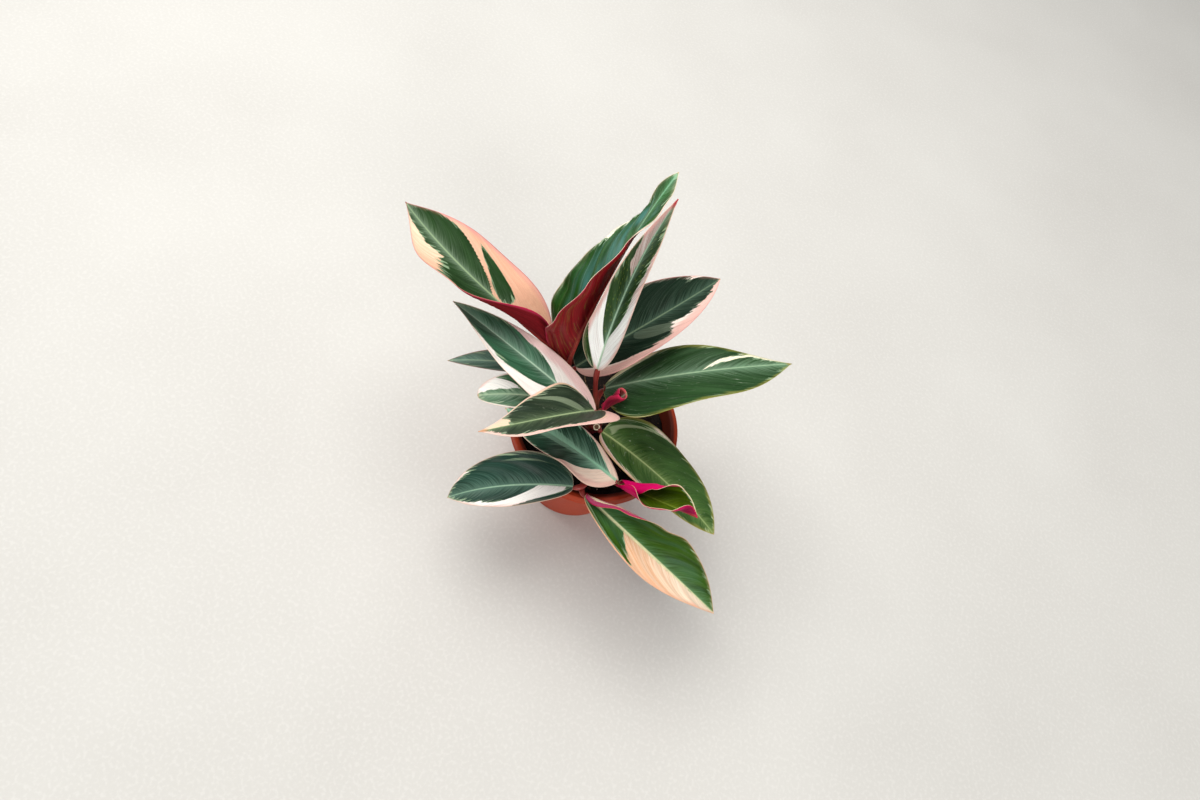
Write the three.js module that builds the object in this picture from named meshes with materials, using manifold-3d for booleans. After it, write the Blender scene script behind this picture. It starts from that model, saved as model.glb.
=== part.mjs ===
// A stromanthe triostar in a 12 cm nursery pot: pot, soil, three leafy shoots and fifteen leaf blades.
// Millimetres, +Z up. The origin is the centre of the pot's base, on the ground.
import * as THREE from 'three';
import { mergeVertices } from 'three/addons/utils/BufferGeometryUtils.js';
import Module from 'manifold-3d';

const wasm = await Module();
wasm.setup();

// ---------------------------------------------------------------- driving dimensions

const POT = {
  rimRadius: 60, // outside of the turned-out rim
  height: 90,
  baseRadius: 39,
  wall: 1.6,
  rimDepth: 8, // height of the rim's skirt
  rimWidth: 4.4, // how far the rim stands out over the wall
  floor: 1.6,
  footRing: 6, // flat ring that the pot stands on
  footPad: 12, // radius of the flat pad at the centre
  recess: 1.8, // lift of the drain ring between pad and foot ring
  drainHoles: 6,
  drainRadius: 4,
  facets: 44,
};

const SOIL = {
  edge: 78.5, // height of the soil at the wall
  crown: 80.5, // and at the centre
  gap: 0.4,
  rootDepth: 18, // how deep the canes reach into it
  holeGap: 0.3,
};

const BLADE = {
  thickness: 0.8,
  tipThickness: 0.6,
  ribHeight: 1.3, // the midrib stands out this far under the blade at its base
  ribHalfWidth: 1.5,
  baseHalfWidth: 1.3,
  tipHalfWidth: 0.35,
  shoulderPower: 2.2,
  taperPower: 1.9,
  lobeReach: 0.12, // share of the length in which the basal lobes die out
  crowding: 0.55, // how much closer the stations lie at both ends
};

const PETIOLE = {
  radius: 1.6,
  sheathRadius: 2.6, // at the cane, where the sheath wraps it
  kneeRadius: 2.0,
  kneeLength: 11,
  endRadius: 1.2,
  gap: 0.45, // to the blade that it carries
  sides: 8,
  segments: 16,
};

// An old petiole, cut off short beside the middle cane: where it leaves the cane and where it ends.
const STUB = { shoot: 'shoot_centre', foot: [0, -2, 84], end: [2.4, -8, 96.5], radius: 2.4, sides: 10 };

// Each shoot: its cane's foot in the soil, the cane's top and radius, and the way that the top leans.
const SHOOTS = {
  shoot_left: { foot: [-17, 15], lean: [-4, -1], top: 98, radius: 4.0 },
  shoot_centre: { foot: [-1, 0], lean: [-1, -4], top: 103, radius: 4.6 },
  shoot_front: { foot: [15, -24], lean: [2, -4], top: 92, radius: 4.0 },
};

// Each blade starts at its knee, where the petiole ends. heading and rise give the midrib's direction
// there, in degrees; swerve turns it left and droop lowers it on the way to the tip. roll and twist tip
// the blade sideways. share is the left half's part of the width. fold lifts a half about the midrib and
// curl rolls it up towards its margin, both in degrees, given at even steps from the base to the tip;
// rollRadius is the tightest roll of each half. lobe pulls the two basal corners back past the knee, and
// mouth is the half width that a rolled leaf keeps at its tip. arrive gives the heading and rise in which
// the petiole meets the blade, where it does not run on into the midrib. sway moves the petiole's first
// bend sideways. start is the height at which its sheath leaves the cane.
const LEAVES = [
  {
    name: 'leaf_back_left', shoot: 'shoot_left', start: 92, color: 0x3c5a44,
    knee: [-48, 8, 140], arrive: [190, 75], heading: 187, rise: 33, droop: 44, swerve: -43,
    length: 137, width: 52, share: 0.45, roll: 0, twist: -25,
    widest: 0.44, shoulder: 0.55, taper: 1.2, lobe: [3, -4],
    fold: { left: [45, 15, -25], right: [15, -15, 20] },
    curl: { left: [165, 60, 0] }, rollRadius: { left: 0.5 },
    strips: { left: 6, right: 3 }, stations: 20,
  },
  {
    name: 'leaf_back_tall', shoot: 'shoot_left', start: 96, color: 0x2f5240,
    knee: [-33, 8, 125], heading: 86, rise: 97, droop: 81, swerve: -7,
    length: 158, width: 56, share: 0.61, roll: 0, twist: -5,
    widest: 0.29, shoulder: 0.7, taper: 0.7, lobe: [-16, -9],
    fold: { left: [-25, -40, -65], right: [175, 165, 130, 105, 75, 40, -15] },
    strips: { left: 3, right: 3 }, stations: 20,
  },
  {
    name: 'leaf_back_narrow', shoot: 'shoot_centre', start: 103, color: 0x35523c,
    knee: [-14, 2, 148], heading: 110, rise: 73, droop: 24, swerve: -36,
    length: 122, width: 31, share: 0.59, roll: -5, twist: 15,
    widest: 0.42, shoulder: 0.65, taper: 1.1, lobe: [3, 3],
    fold: { left: [0, 50, 60], right: [40, 50, 20] },
    strips: { left: 3, right: 3 }, stations: 18,
  },
  {
    name: 'leaf_right_upper', shoot: 'shoot_left', start: 97, color: 0x24443a,
    knee: [-28, 9, 128], heading: 43, rise: 47, droop: 51, swerve: 22,
    length: 118, width: 48, share: 0.54, roll: 0, twist: 0,
    widest: 0.41, shoulder: 0.55, taper: 1.0, lobe: [3, 3],
    fold: { left: [10, 10, 25], right: [0, 20, 20] },
    strips: { left: 3, right: 3 }, stations: 18,
  },
  {
    name: 'leaf_right_long', shoot: 'shoot_centre', start: 100, color: 0x2c5040,
    knee: [-5, 8, 120], heading: 19, rise: 45, droop: 51, swerve: 17,
    length: 130, width: 53, share: 0.4, roll: -10, twist: -5,
    widest: 0.37, shoulder: 0.6, taper: 1.1, lobe: [3, 3],
    fold: { left: [-5, 15, -10], right: [-15, 15, -10] },
    strips: { left: 3, right: 3 }, stations: 18,
  },
  {
    name: 'leaf_left_upper', shoot: 'shoot_centre', start: 98, color: 0x2b5142,
    knee: [-3, -16, 125], heading: 175, rise: 21, droop: 29, swerve: -12,
    length: 119, width: 36, share: 0.59, roll: 5, twist: 15,
    widest: 0.39, shoulder: 0.65, taper: 0.9, lobe: [3, 3],
    fold: { left: [-10, 5, 30], right: [35, 35, 45] },
    strips: { left: 3, right: 3 }, stations: 18,
  },
  {
    name: 'leaf_left_small', shoot: 'shoot_left', start: 90, color: 0x33594a,
    knee: [-37, 7, 118], heading: 200, rise: 6, droop: 42, swerve: -9,
    length: 79, width: 22, share: 0.5, roll: 15, twist: 0,
    widest: 0.43, shoulder: 0.6, taper: 1.0, lobe: [3, 3],
    fold: { left: [10, 10, 10], right: [10, 10, 10] },
    strips: { left: 3, right: 3 }, stations: 14,
  },
  {
    name: 'leaf_left_lower', shoot: 'shoot_centre', start: 94, color: 0x3a5f4e,
    knee: [-13, -14, 121], heading: 193, rise: 14, droop: 41, swerve: 10,
    length: 69, width: 26, share: 0.4, roll: -5, twist: -15,
    widest: 0.43, shoulder: 0.6, taper: 0.5, lobe: [3, 3],
    fold: { left: [10, 10, 10], right: [10, 10, 10] },
    strips: { left: 3, right: 3 }, stations: 14,
  },
  {
    name: 'leaf_centre', shoot: 'shoot_centre', start: 98, color: 0x35483a,
    knee: [-4, -20, 138], arrive: [228, 46], sway: [-3, -3], heading: 236, rise: 39, droop: 46, swerve: -17,
    length: 86, width: 50, share: 0.53, roll: 10, twist: 0,
    widest: 0.18, shoulder: 0.6, taper: 1.2, lobe: [15, 0],
    fold: { left: [40, 35, -5], right: [10, -10, -30] },
    strips: { left: 3, right: 3 }, stations: 16,
  },
  {
    name: 'leaf_inner_low', shoot: 'shoot_front', start: 88, color: 0x1f4f45,
    knee: [30, -42, 105], arrive: [-45, 65], heading: 174, rise: 18, droop: 18, swerve: 5,
    length: 88, width: 42, share: 0.57, roll: 5, twist: -10,
    widest: 0.52, shoulder: 0.75, taper: 1.1, lobe: [2, 3],
    fold: { left: [-5, 35, 20], right: [-10, -5, 5] },
    strips: { left: 3, right: 3 }, stations: 16,
  },
  {
    name: 'leaf_front_left', shoot: 'shoot_front', start: 86, color: 0x22504a,
    knee: [5, -58, 102], heading: 197, rise: -10, droop: 43, swerve: 7,
    length: 94, width: 40, share: 0.42, roll: 0, twist: -5,
    widest: 0.41, shoulder: 0.55, taper: 1.0, lobe: [3, 3],
    fold: { left: [25, 15, 10], right: [15, 5, 30] },
    strips: { left: 3, right: 3 }, stations: 16,
  },
  {
    name: 'leaf_front_right', shoot: 'shoot_centre', start: 94, color: 0x2f4f35,
    knee: [7, -15, 107], heading: -8, rise: -2, droop: 31, swerve: -3,
    length: 109, width: 45, share: 0.63, roll: -5, twist: -5,
    widest: 0.4, shoulder: 0.45, taper: 0.9, lobe: [2, 4],
    fold: { left: [20, 0, 20], right: [5, 0, -15] },
    strips: { left: 3, right: 3 }, stations: 18,
  },
  {
    name: 'leaf_unrolling', shoot: 'shoot_front', start: 86, color: 0x6b8a2a,
    knee: [31, -40, 98], heading: -10, rise: 28, droop: 10, swerve: 3,
    length: 59, width: 40, share: 0.51, roll: 0, twist: -10,
    widest: 0.5, shoulder: 0.9, taper: 1.0, lobe: [0, 0],
    fold: { left: [10, 5, 15, 30, 15], right: [5, 5, 10, 40, 115] },
    curl: { left: [120, 280, 170, 55, 5], right: [100, 130, 55, 10, 50] }, rollRadius: { left: 1, right: 1 },
    strips: { left: 8, right: 6 }, stations: 18,
  },
  {
    name: 'leaf_front_low', shoot: 'shoot_front', start: 86, color: 0x4d7a30,
    knee: [15, -58, 98], heading: -19, rise: 3, droop: 37, swerve: 16,
    length: 122, width: 42, share: 0.58, roll: 0, twist: 0,
    widest: 0.45, shoulder: 0.65, taper: 1.0, lobe: [3, 3],
    fold: { left: [110, 50, 25], right: [30, 10, 35] },
    strips: { left: 3, right: 3 }, stations: 18,
  },
  {
    name: 'leaf_rolled', shoot: 'shoot_centre', start: 102, color: 0xa3133f,
    knee: [0, -6, 119], heading: -5, rise: 75, droop: 0, swerve: 0,
    length: 39, width: 22, share: 0.45, roll: 0, twist: 0,
    widest: 0.8, shoulder: 0.7, taper: 0.3, lobe: [0, 0],
    fold: { left: [0, 0], right: [0, 0] },
    curl: { left: [120, 250, 200], right: [100, 215, 100] }, rollRadius: { left: 2.0, right: 3.2 },
    mouth: 5,
    strips: { left: 8, right: 8 }, stations: 10,
  },
];

// ---------------------------------------------------------------- leaf shape

const RAD = Math.PI / 180;
const ease = (x) => x * x * (3 - 2 * x);

// A value given at even steps from the base to the tip, eased between them.
function along(values, t) {
  const spans = values.length - 1;
  const span = Math.min(Math.floor(t * spans), spans - 1);
  return values[span] + (values[span + 1] - values[span]) * ease(t * spans - span);
}

// Stations lie closer together near the base and the tip, where the outline turns.
const stationAt = (u) => u - BLADE.crowding * Math.sin(2 * Math.PI * u) / (2 * Math.PI);

// The blade's half width as a share of its widest place.
function outline(leaf, t) {
  const before = Math.max(1 - t / leaf.widest, 0);
  const after = Math.max((t - leaf.widest) / (1 - leaf.widest), 0);
  return (1 - before ** BLADE.shoulderPower) ** leaf.shoulder * (1 - after ** BLADE.taperPower) ** leaf.taper;
}

// The unit vector of a heading and a rise in degrees.
function direction(heading, rise) {
  return new THREE.Vector3(
    Math.cos(heading * RAD) * Math.cos(rise * RAD),
    Math.sin(heading * RAD) * Math.cos(rise * RAD),
    Math.sin(rise * RAD),
  );
}

function meshOf(points, faces) {
  const numbers = points.flatMap((point) => [point.x, point.y, point.z]);
  const geometry = new THREE.BufferGeometry();
  geometry.setAttribute('position', new THREE.Float32BufferAttribute(numbers, 3));
  geometry.setIndex(faces);
  return geometry;
}

// Points and directions along the midrib: forward, to the right, and out of the upper face.
function midrib(leaf) {
  const frames = [];
  const point = new THREE.Vector3(...leaf.knee);
  let last = null;
  for (let i = 0; i <= leaf.stations; i += 1) {
    const t = stationAt(i / leaf.stations);
    const heading = (leaf.heading + leaf.swerve * t) * RAD;
    const roll = (leaf.roll + leaf.twist * t) * RAD;
    const forward = direction(leaf.heading + leaf.swerve * t, leaf.rise - leaf.droop * t);
    if (last) {
      point.addScaledVector(last.forward.clone().add(forward), leaf.length * (t - last.t) / 2);
    }
    const level = new THREE.Vector3(Math.sin(heading), -Math.cos(heading), 0);
    const lift = level.clone().cross(forward);
    const right = level.clone().multiplyScalar(Math.cos(roll)).addScaledVector(lift, -Math.sin(roll));
    const up = lift.clone().multiplyScalar(Math.cos(roll)).addScaledVector(level, Math.sin(roll));
    last = { t, point: point.clone(), forward, right, up };
    frames.push(last);
  }
  return frames;
}

// One place on the upper face: side is +1 on the right half and -1 on the left, s runs from the
// midrib to the margin.
function bladePlace(leaf, frame, side, s) {
  const half = side > 0 ? 'right' : 'left';
  const share = side > 0 ? 1 - leaf.share : leaf.share;
  const full = leaf.width * share;
  const tip = leaf.mouth || BLADE.tipHalfWidth;
  const least = BLADE.baseHalfWidth * (1 - frame.t) + tip * frame.t;
  const width = Math.hypot(full * outline(leaf, frame.t), least);
  const fold = along(leaf.fold[half], frame.t) * RAD;
  const curl = leaf.curl && leaf.curl[half]
    ? Math.min(along(leaf.curl[half], frame.t) * RAD, width / leaf.rollRadius[half])
    : 0;
  const angle = fold + curl * s;
  let out = width * s * Math.cos(fold);
  let rise = width * s * Math.sin(fold);
  if (Math.abs(curl) > 0.001) {
    out = (width / curl) * (Math.sin(angle) - Math.sin(fold));
    rise = (width / curl) * (Math.cos(fold) - Math.cos(angle));
  }
  const lobe = leaf.lobe[side > 0 ? 1 : 0] * Math.exp(-frame.t / BLADE.lobeReach) * ease(s) * (width / full);
  const point = frame.point.clone()
    .addScaledVector(frame.right, side * out)
    .addScaledVector(frame.up, rise)
    .addScaledVector(frame.forward, -lobe);
  const normal = frame.up.clone().multiplyScalar(Math.cos(angle))
    .addScaledVector(frame.right, -side * Math.sin(angle));
  return { point, normal, width };
}

// The way that the midrib's upper side looks: out of the opening between the two halves.
function ribUp(leaf, frame) {
  const lean = (along(leaf.fold.right, frame.t) - along(leaf.fold.left, frame.t)) * RAD / 2;
  return frame.up.clone().multiplyScalar(Math.cos(lean)).addScaledVector(frame.right, -Math.sin(lean));
}

// The blade as a closed sheet: an upper and a lower grid with the same triangles, joined at the rim.
function bladeGeometry(leaf) {
  const columns = [];
  for (let j = leaf.strips.left; j >= 1; j -= 1) {
    columns.push({ side: -1, step: j, steps: leaf.strips.left });
  }
  columns.push({ side: 1, step: 0, steps: leaf.strips.right });
  for (let j = 1; j <= leaf.strips.right; j += 1) {
    columns.push({ side: 1, step: j, steps: leaf.strips.right });
  }

  const upper = [];
  const lower = [];
  for (const frame of midrib(leaf)) {
    const thickness = BLADE.thickness + (BLADE.tipThickness - BLADE.thickness) * frame.t;
    const rib = BLADE.ribHeight * (1 - frame.t) ** 1.5;
    for (const { side, step, steps } of columns) {
      const margin = bladePlace(leaf, frame, side, 1).width;
      const ribEdge = Math.min(BLADE.ribHalfWidth / margin, 0.4);
      const s = step === 0 ? 0 : ribEdge + (1 - ribEdge) * ((step - 1) / (steps - 1));
      const { point, normal } = bladePlace(leaf, frame, side, s);
      upper.push(point);
      // close to the midrib the lower face is set off along the rib, so that a fold does not pinch it
      const clear = Math.min(margin * s / (2 * thickness), 1);
      const away = ribUp(leaf, frame).lerp(normal, clear).normalize();
      lower.push(point.clone().addScaledVector(away, step === 0 ? -thickness - rib : -thickness));
    }
  }

  const across = columns.length;
  const rows = leaf.stations + 1;
  const offset = upper.length;
  const faces = [];
  const quad = (a, b, c, d) => faces.push(a, b, c, a, c, d);
  for (let i = 0; i < rows - 1; i += 1) {
    for (let j = 0; j < across - 1; j += 1) {
      const a = i * across + j;
      const b = a + 1;
      const c = a + across + 1;
      const d = a + across;
      faces.push(a, b, c, a, c, d);
      faces.push(offset + a, offset + c, offset + b, offset + a, offset + d, offset + c);
    }
    const left = i * across;
    const right = left + across - 1;
    quad(left, left + across, offset + left + across, offset + left);
    quad(right, offset + right, offset + right + across, right + across);
  }
  const end = (rows - 1) * across;
  for (let j = 0; j < across - 1; j += 1) {
    quad(j, offset + j, offset + j + 1, j + 1);
    quad(end + j, end + j + 1, offset + end + j + 1, offset + end + j);
  }

  return meshOf([...upper, ...lower], faces);
}

// ---------------------------------------------------------------- solids

// Turns a closed three.js geometry into a manifold-3d solid.
function solid(geometry) {
  const bare = geometry.clone();
  bare.deleteAttribute('normal');
  bare.deleteAttribute('uv');
  const merged = mergeVertices(bare, 1e-4);
  return new wasm.Manifold(new wasm.Mesh({
    numProp: 3,
    vertProperties: new Float32Array(merged.attributes.position.array),
    triVerts: new Uint32Array(merged.index.array),
  }));
}

function geometryOf(body) {
  const { vertProperties, triVerts } = body.getMesh();
  const geometry = new THREE.BufferGeometry();
  geometry.setAttribute('position', new THREE.BufferAttribute(vertProperties, 3));
  geometry.setIndex(new THREE.BufferAttribute(triVerts, 1));
  return geometry;
}

// A round rod of changing radius along a curve, closed with flat ends.
function rodGeometry(curve, radiusAt, segments, sides) {
  const { normals, binormals } = curve.computeFrenetFrames(segments, false);
  const places = [];
  for (let i = 0; i <= segments; i += 1) {
    const centre = curve.getPointAt(i / segments);
    const radius = radiusAt(i / segments);
    for (let k = 0; k < sides; k += 1) {
      const turn = (2 * Math.PI * k) / sides;
      places.push(centre.clone()
        .addScaledVector(normals[i], radius * Math.cos(turn))
        .addScaledVector(binormals[i], radius * Math.sin(turn)));
    }
  }
  const faces = [];
  for (let i = 0; i < segments; i += 1) {
    for (let k = 0; k < sides; k += 1) {
      const a = i * sides + k;
      const b = i * sides + ((k + 1) % sides);
      faces.push(a, b, b + sides, a, b + sides, a + sides);
    }
  }
  const end = segments * sides;
  for (let k = 1; k < sides - 1; k += 1) {
    faces.push(0, k + 1, k, end, end + k, end + k + 1);
  }
  return meshOf(places, faces);
}

// ---------------------------------------------------------------- pot and soil

const wallSlope = (POT.rimRadius - POT.rimWidth - POT.baseRadius) / POT.height;
const wallRadius = (z) => POT.baseRadius + wallSlope * z;

function lathe(profile) {
  const points = profile.map(([r, z]) => new THREE.Vector2(r, z));
  const geometry = new THREE.LatheGeometry(points, POT.facets);
  geometry.rotateX(Math.PI / 2);
  return geometry;
}

function potGeometry() {
  const rim = POT.rimRadius;
  const top = POT.height;
  const skirt = top - POT.rimDepth;
  const floorTop = POT.recess + POT.floor;
  const footInner = POT.baseRadius - POT.footRing;
  const body = solid(lathe([
    [0, 0],
    [POT.footPad, 0],
    [POT.footPad + 1.5, POT.recess],
    [footInner - 1.5, POT.recess],
    [footInner, 0],
    [POT.baseRadius - 0.8, 0],
    [POT.baseRadius + 0.2, 1],
    [wallRadius(top - POT.wall), top - POT.wall],
    [rim - POT.wall, top - POT.wall],
    [rim - POT.wall + 0.2, skirt],
    [rim, skirt],
    [rim, top - 1.2],
    [rim - 0.4, top - 0.3],
    [rim - 1.2, top],
    [wallRadius(top) + 0.6, top],
    [wallRadius(top) - POT.wall + 0.6, top - 0.4],
    [wallRadius(top) - POT.wall, top - 1.4],
    [wallRadius(floorTop + 1) - POT.wall, floorTop + 1],
    [wallRadius(floorTop) - POT.wall - 1, floorTop],
    [0, floorTop],
  ]));
  const ring = (POT.footPad + footInner) / 2;
  let pot = body;
  for (let i = 0; i < POT.drainHoles; i += 1) {
    const turn = (2 * Math.PI * (i + 0.5)) / POT.drainHoles;
    const drill = new THREE.CylinderGeometry(POT.drainRadius, POT.drainRadius, 4 * POT.floor, 12);
    drill.rotateX(Math.PI / 2);
    drill.translate(ring * Math.cos(turn), ring * Math.sin(turn), POT.recess);
    pot = pot.subtract(solid(drill));
  }
  return geometryOf(pot);
}

function soilGeometry() {
  const floorTop = POT.recess + POT.floor + SOIL.gap;
  const inside = (z) => wallRadius(z) - POT.wall - SOIL.gap;
  let soil = solid(lathe([
    [0, floorTop],
    [inside(floorTop) - 1.6, floorTop],
    [inside(floorTop + 1.6), floorTop + 1.6],
    [inside(SOIL.edge), SOIL.edge],
    [inside(SOIL.edge) * 0.6, SOIL.crown - 0.5],
    [0, SOIL.crown],
  ]));
  for (const shoot of Object.values(SHOOTS)) {
    const radius = shoot.radius + SOIL.holeGap;
    const drill = new THREE.CylinderGeometry(radius, radius, 2 * SOIL.rootDepth, 16);
    drill.rotateX(Math.PI / 2);
    drill.translate(shoot.foot[0], shoot.foot[1], SOIL.crown);
    soil = soil.subtract(solid(drill));
  }
  return geometryOf(soil);
}

// ---------------------------------------------------------------- canes and petioles

// The cane stands upright in the soil and leans a little above it.
function caneCurve(shoot) {
  const [x, y] = shoot.foot;
  const [dx, dy] = shoot.lean;
  return new THREE.CatmullRomCurve3([
    new THREE.Vector3(x, y, SOIL.crown - SOIL.rootDepth + SOIL.holeGap),
    new THREE.Vector3(x, y, SOIL.crown - 5),
    new THREE.Vector3(x, y, SOIL.crown + 1),
    new THREE.Vector3(x + dx / 2, y + dy / 2, (SOIL.crown + 1 + shoot.top) / 2),
    new THREE.Vector3(x + dx, y + dy, shoot.top),
  ], false, 'chordal');
}

function canePoint(shoot, z) {
  const [x, y] = shoot.foot;
  const [dx, dy] = shoot.lean;
  const rise = Math.max((z - SOIL.crown - 1) / (shoot.top - SOIL.crown - 1), 0);
  return new THREE.Vector3(x + dx * rise, y + dy * rise, z);
}

// A petiole leaves the cane in a sheath, arches out and meets the blade along its midrib.
function petioleGeometry(leaf) {
  const base = midrib(leaf)[0];
  const shoot = SHOOTS[leaf.shoot];
  const end = base.point.clone();
  const arrival = leaf.arrive ? direction(...leaf.arrive) : base.forward;
  const up = ribUp(leaf, base);
  const turn = arrival.angleTo(base.forward);
  if (turn < Math.PI / 3) {
    end.addScaledVector(up, -(BLADE.thickness + BLADE.ribHeight) / 2)
      .addScaledVector(base.forward, -PETIOLE.gap - PETIOLE.endRadius * Math.sin(turn));
  } else {
    end.addScaledVector(up, -BLADE.thickness - BLADE.ribHeight - 2 * PETIOLE.gap)
      .addScaledVector(base.forward, BLADE.baseHalfWidth);
  }
  const start = canePoint(shoot, leaf.start - 6);
  const reach = end.distanceTo(start);
  const outward = new THREE.Vector3(end.x - start.x, end.y - start.y, 0);
  const [swayX, swayY] = leaf.sway || [0, 0];
  const curve = new THREE.CubicBezierCurve3(
    start,
    start.clone().addScaledVector(outward, 0.2).add(new THREE.Vector3(swayX, swayY, reach * 0.35)),
    end.clone().addScaledVector(arrival, -reach * 0.3),
    end,
  );
  const length = curve.getLength();
  const radiusAt = (u) => {
    const left = (1 - u) * length;
    const sheath = (PETIOLE.sheathRadius - PETIOLE.radius) * Math.max(1 - 1.6 * u, 0);
    const swell = PETIOLE.kneeRadius - PETIOLE.radius;
    const knee = left < PETIOLE.kneeLength ? swell * Math.sin(Math.PI * left / PETIOLE.kneeLength) : 0;
    const chamfer = (PETIOLE.radius - PETIOLE.endRadius) * Math.max(1 - left / 1.5, 0);
    return PETIOLE.radius + sheath + knee - chamfer;
  };
  return rodGeometry(curve, radiusAt, PETIOLE.segments, PETIOLE.sides);
}

function stubGeometry() {
  const axis = new THREE.LineCurve3(new THREE.Vector3(...STUB.foot), new THREE.Vector3(...STUB.end));
  return rodGeometry(axis, () => STUB.radius, 1, STUB.sides);
}

function shootGeometry(name) {
  const shoot = SHOOTS[name];
  const taper = (u) => shoot.radius * (u < 0.6 ? 1 : 1 - 0.35 * (u - 0.6) / 0.4);
  let body = solid(rodGeometry(caneCurve(shoot), taper, 10, 12));
  for (const leaf of LEAVES.filter((entry) => entry.shoot === name)) {
    body = body.add(solid(petioleGeometry(leaf)));
  }
  if (name === STUB.shoot) {
    body = body.add(solid(stubGeometry()));
  }
  return geometryOf(body);
}

// ---------------------------------------------------------------- assembly

const plant = new THREE.Group();

function addNode(name, geometry, color, roughness) {
  const material = new THREE.MeshStandardMaterial({ color, roughness, metalness: 0 });
  const mesh = new THREE.Mesh(geometry, material);
  mesh.name = name;
  plant.add(mesh);
}

addNode('pot', potGeometry(), 0xb04a2c, 0.55);
addNode('soil', soilGeometry(), 0x2b211c, 0.95);
for (const name of Object.keys(SHOOTS)) {
  addNode(name, shootGeometry(name), 0x7a2a24, 0.5);
}
for (const leaf of LEAVES) {
  addNode(leaf.name, bladeGeometry(leaf), leaf.color, 0.45);
}

export default plant;
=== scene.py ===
"""Looks of a potted stromanthe triostar: leaf blades with their markings, stems, soil and pot.

Sizes are in millimetres throughout and become metres only where a vertex or an object is placed.
"""

import math
import random
from dataclasses import dataclass

import bmesh
import bpy
from mathutils import Matrix, Vector, noise


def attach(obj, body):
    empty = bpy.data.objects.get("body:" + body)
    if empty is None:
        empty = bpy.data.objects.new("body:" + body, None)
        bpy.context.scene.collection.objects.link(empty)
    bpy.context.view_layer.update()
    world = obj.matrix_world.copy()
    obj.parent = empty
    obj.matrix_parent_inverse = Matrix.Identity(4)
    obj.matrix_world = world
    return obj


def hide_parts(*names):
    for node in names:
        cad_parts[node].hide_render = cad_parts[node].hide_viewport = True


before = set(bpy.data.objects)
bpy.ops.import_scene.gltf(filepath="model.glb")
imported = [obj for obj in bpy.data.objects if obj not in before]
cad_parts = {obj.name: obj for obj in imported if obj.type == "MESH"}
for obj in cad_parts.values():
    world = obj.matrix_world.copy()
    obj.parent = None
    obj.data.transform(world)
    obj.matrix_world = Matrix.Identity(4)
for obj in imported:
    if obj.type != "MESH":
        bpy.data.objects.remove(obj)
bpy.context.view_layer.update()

MM = 0.001
FULL_TURN = 2 * math.pi
WELD = 0.001  # vertices closer than this are one


# ------------------------------------------------------------------ helpers


def ease(x):
    """0 to 1 with a level start and end."""
    x = min(max(x, 0), 1)
    return x * x * (3 - 2 * x)


def direction(heading, rise):
    """Unit vector of a heading and a rise in degrees."""
    heading = math.radians(heading)
    rise = math.radians(rise)
    return Vector((math.cos(heading) * math.cos(rise), math.sin(heading) * math.cos(rise), math.sin(rise)))


def add_object(name, data):
    thing = bpy.data.objects.new(name, data)
    bpy.context.scene.collection.objects.link(thing)
    return thing


def mesh_from(name, bm):
    """The mesh of a bmesh that is finished."""
    mesh = bpy.data.meshes.new(name)
    bm.to_mesh(mesh)
    bm.free()
    return mesh


def shade_smooth(mesh):
    for face in mesh.polygons:
        face.use_smooth = True


def add_piece(name, bm, skins, slot, *nodes):
    """Turns a bmesh into a smooth piece that rides on the plant and stands for its CAD nodes."""
    mesh = mesh_from(name, bm)
    shade_smooth(mesh)
    for skin in skins:
        mesh.materials.append(skin)
    piece = add_object(name, mesh)
    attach(piece, "root")
    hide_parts(*nodes)
    return piece


def faces_at(verts):
    return {face for vert in verts for face in vert.link_faces}


def revolve(bm, profile, steps):
    """Spins a profile of (radius, height) points into a closed body about the upright axis."""
    points = [bm.verts.new((radius * MM, 0, height * MM)) for radius, height in profile]
    edges = [bm.edges.new(pair) for pair in zip(points, points[1:])]
    bmesh.ops.spin(bm, geom=points + edges, cent=(0, 0, 0), axis=(0, 0, 1), dvec=(0, 0, 0),
                   angle=FULL_TURN, steps=steps, use_merge=True)
    bmesh.ops.remove_doubles(bm, verts=bm.verts, dist=WELD * MM)
    bmesh.ops.recalc_face_normals(bm, faces=bm.faces)


# ------------------------------------------------------------------ camera and light

CAMERA_AIM = (-3.8, 16.1, 90)
CAMERA_DISTANCE = 566
CAMERA_ELEVATION = 60
CAMERA_ROLL = 26
LENS = 24
SENSOR_WIDTH = 36

ROOM_COLOUR = (0.93, 0.965, 1.0, 1)
ROOM_STRENGTH = 0.42
LIGHTS = {
    "overhead": {"place": (-500, 330, 1450), "size": 1300, "power": 29},
    "left window": {"place": (-2500, 255, 950), "size": 1000, "power": 14.5},
    "front window": {"place": (1600, -1950, 1140), "size": 1400, "power": 41},
}


def add_camera():
    data = bpy.data.cameras.new("camera")
    data.sensor_fit = "HORIZONTAL"
    data.sensor_width = SENSOR_WIDTH
    data.lens = LENS
    camera = add_object("camera", data)
    tilt = Matrix.Rotation(math.radians(90 - CAMERA_ELEVATION), 4, "X")
    roll = Matrix.Rotation(math.radians(CAMERA_ROLL), 4, "Z")
    place = Vector(CAMERA_AIM) + tilt @ Vector((0, 0, CAMERA_DISTANCE))
    camera.matrix_world = Matrix.Translation(place * MM) @ tilt @ roll
    bpy.context.scene.camera = camera


def add_soft_light(name, place, size, power):
    """A square soft box that faces the plant."""
    data = bpy.data.lights.new(name, "AREA")
    data.size = size * MM
    data.energy = power
    light = add_object(name, data)
    light.location = Vector(place) * MM
    towards = Vector(CAMERA_AIM) - Vector(place)
    light.rotation_euler = towards.to_track_quat("-Z", "Y").to_euler()


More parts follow.
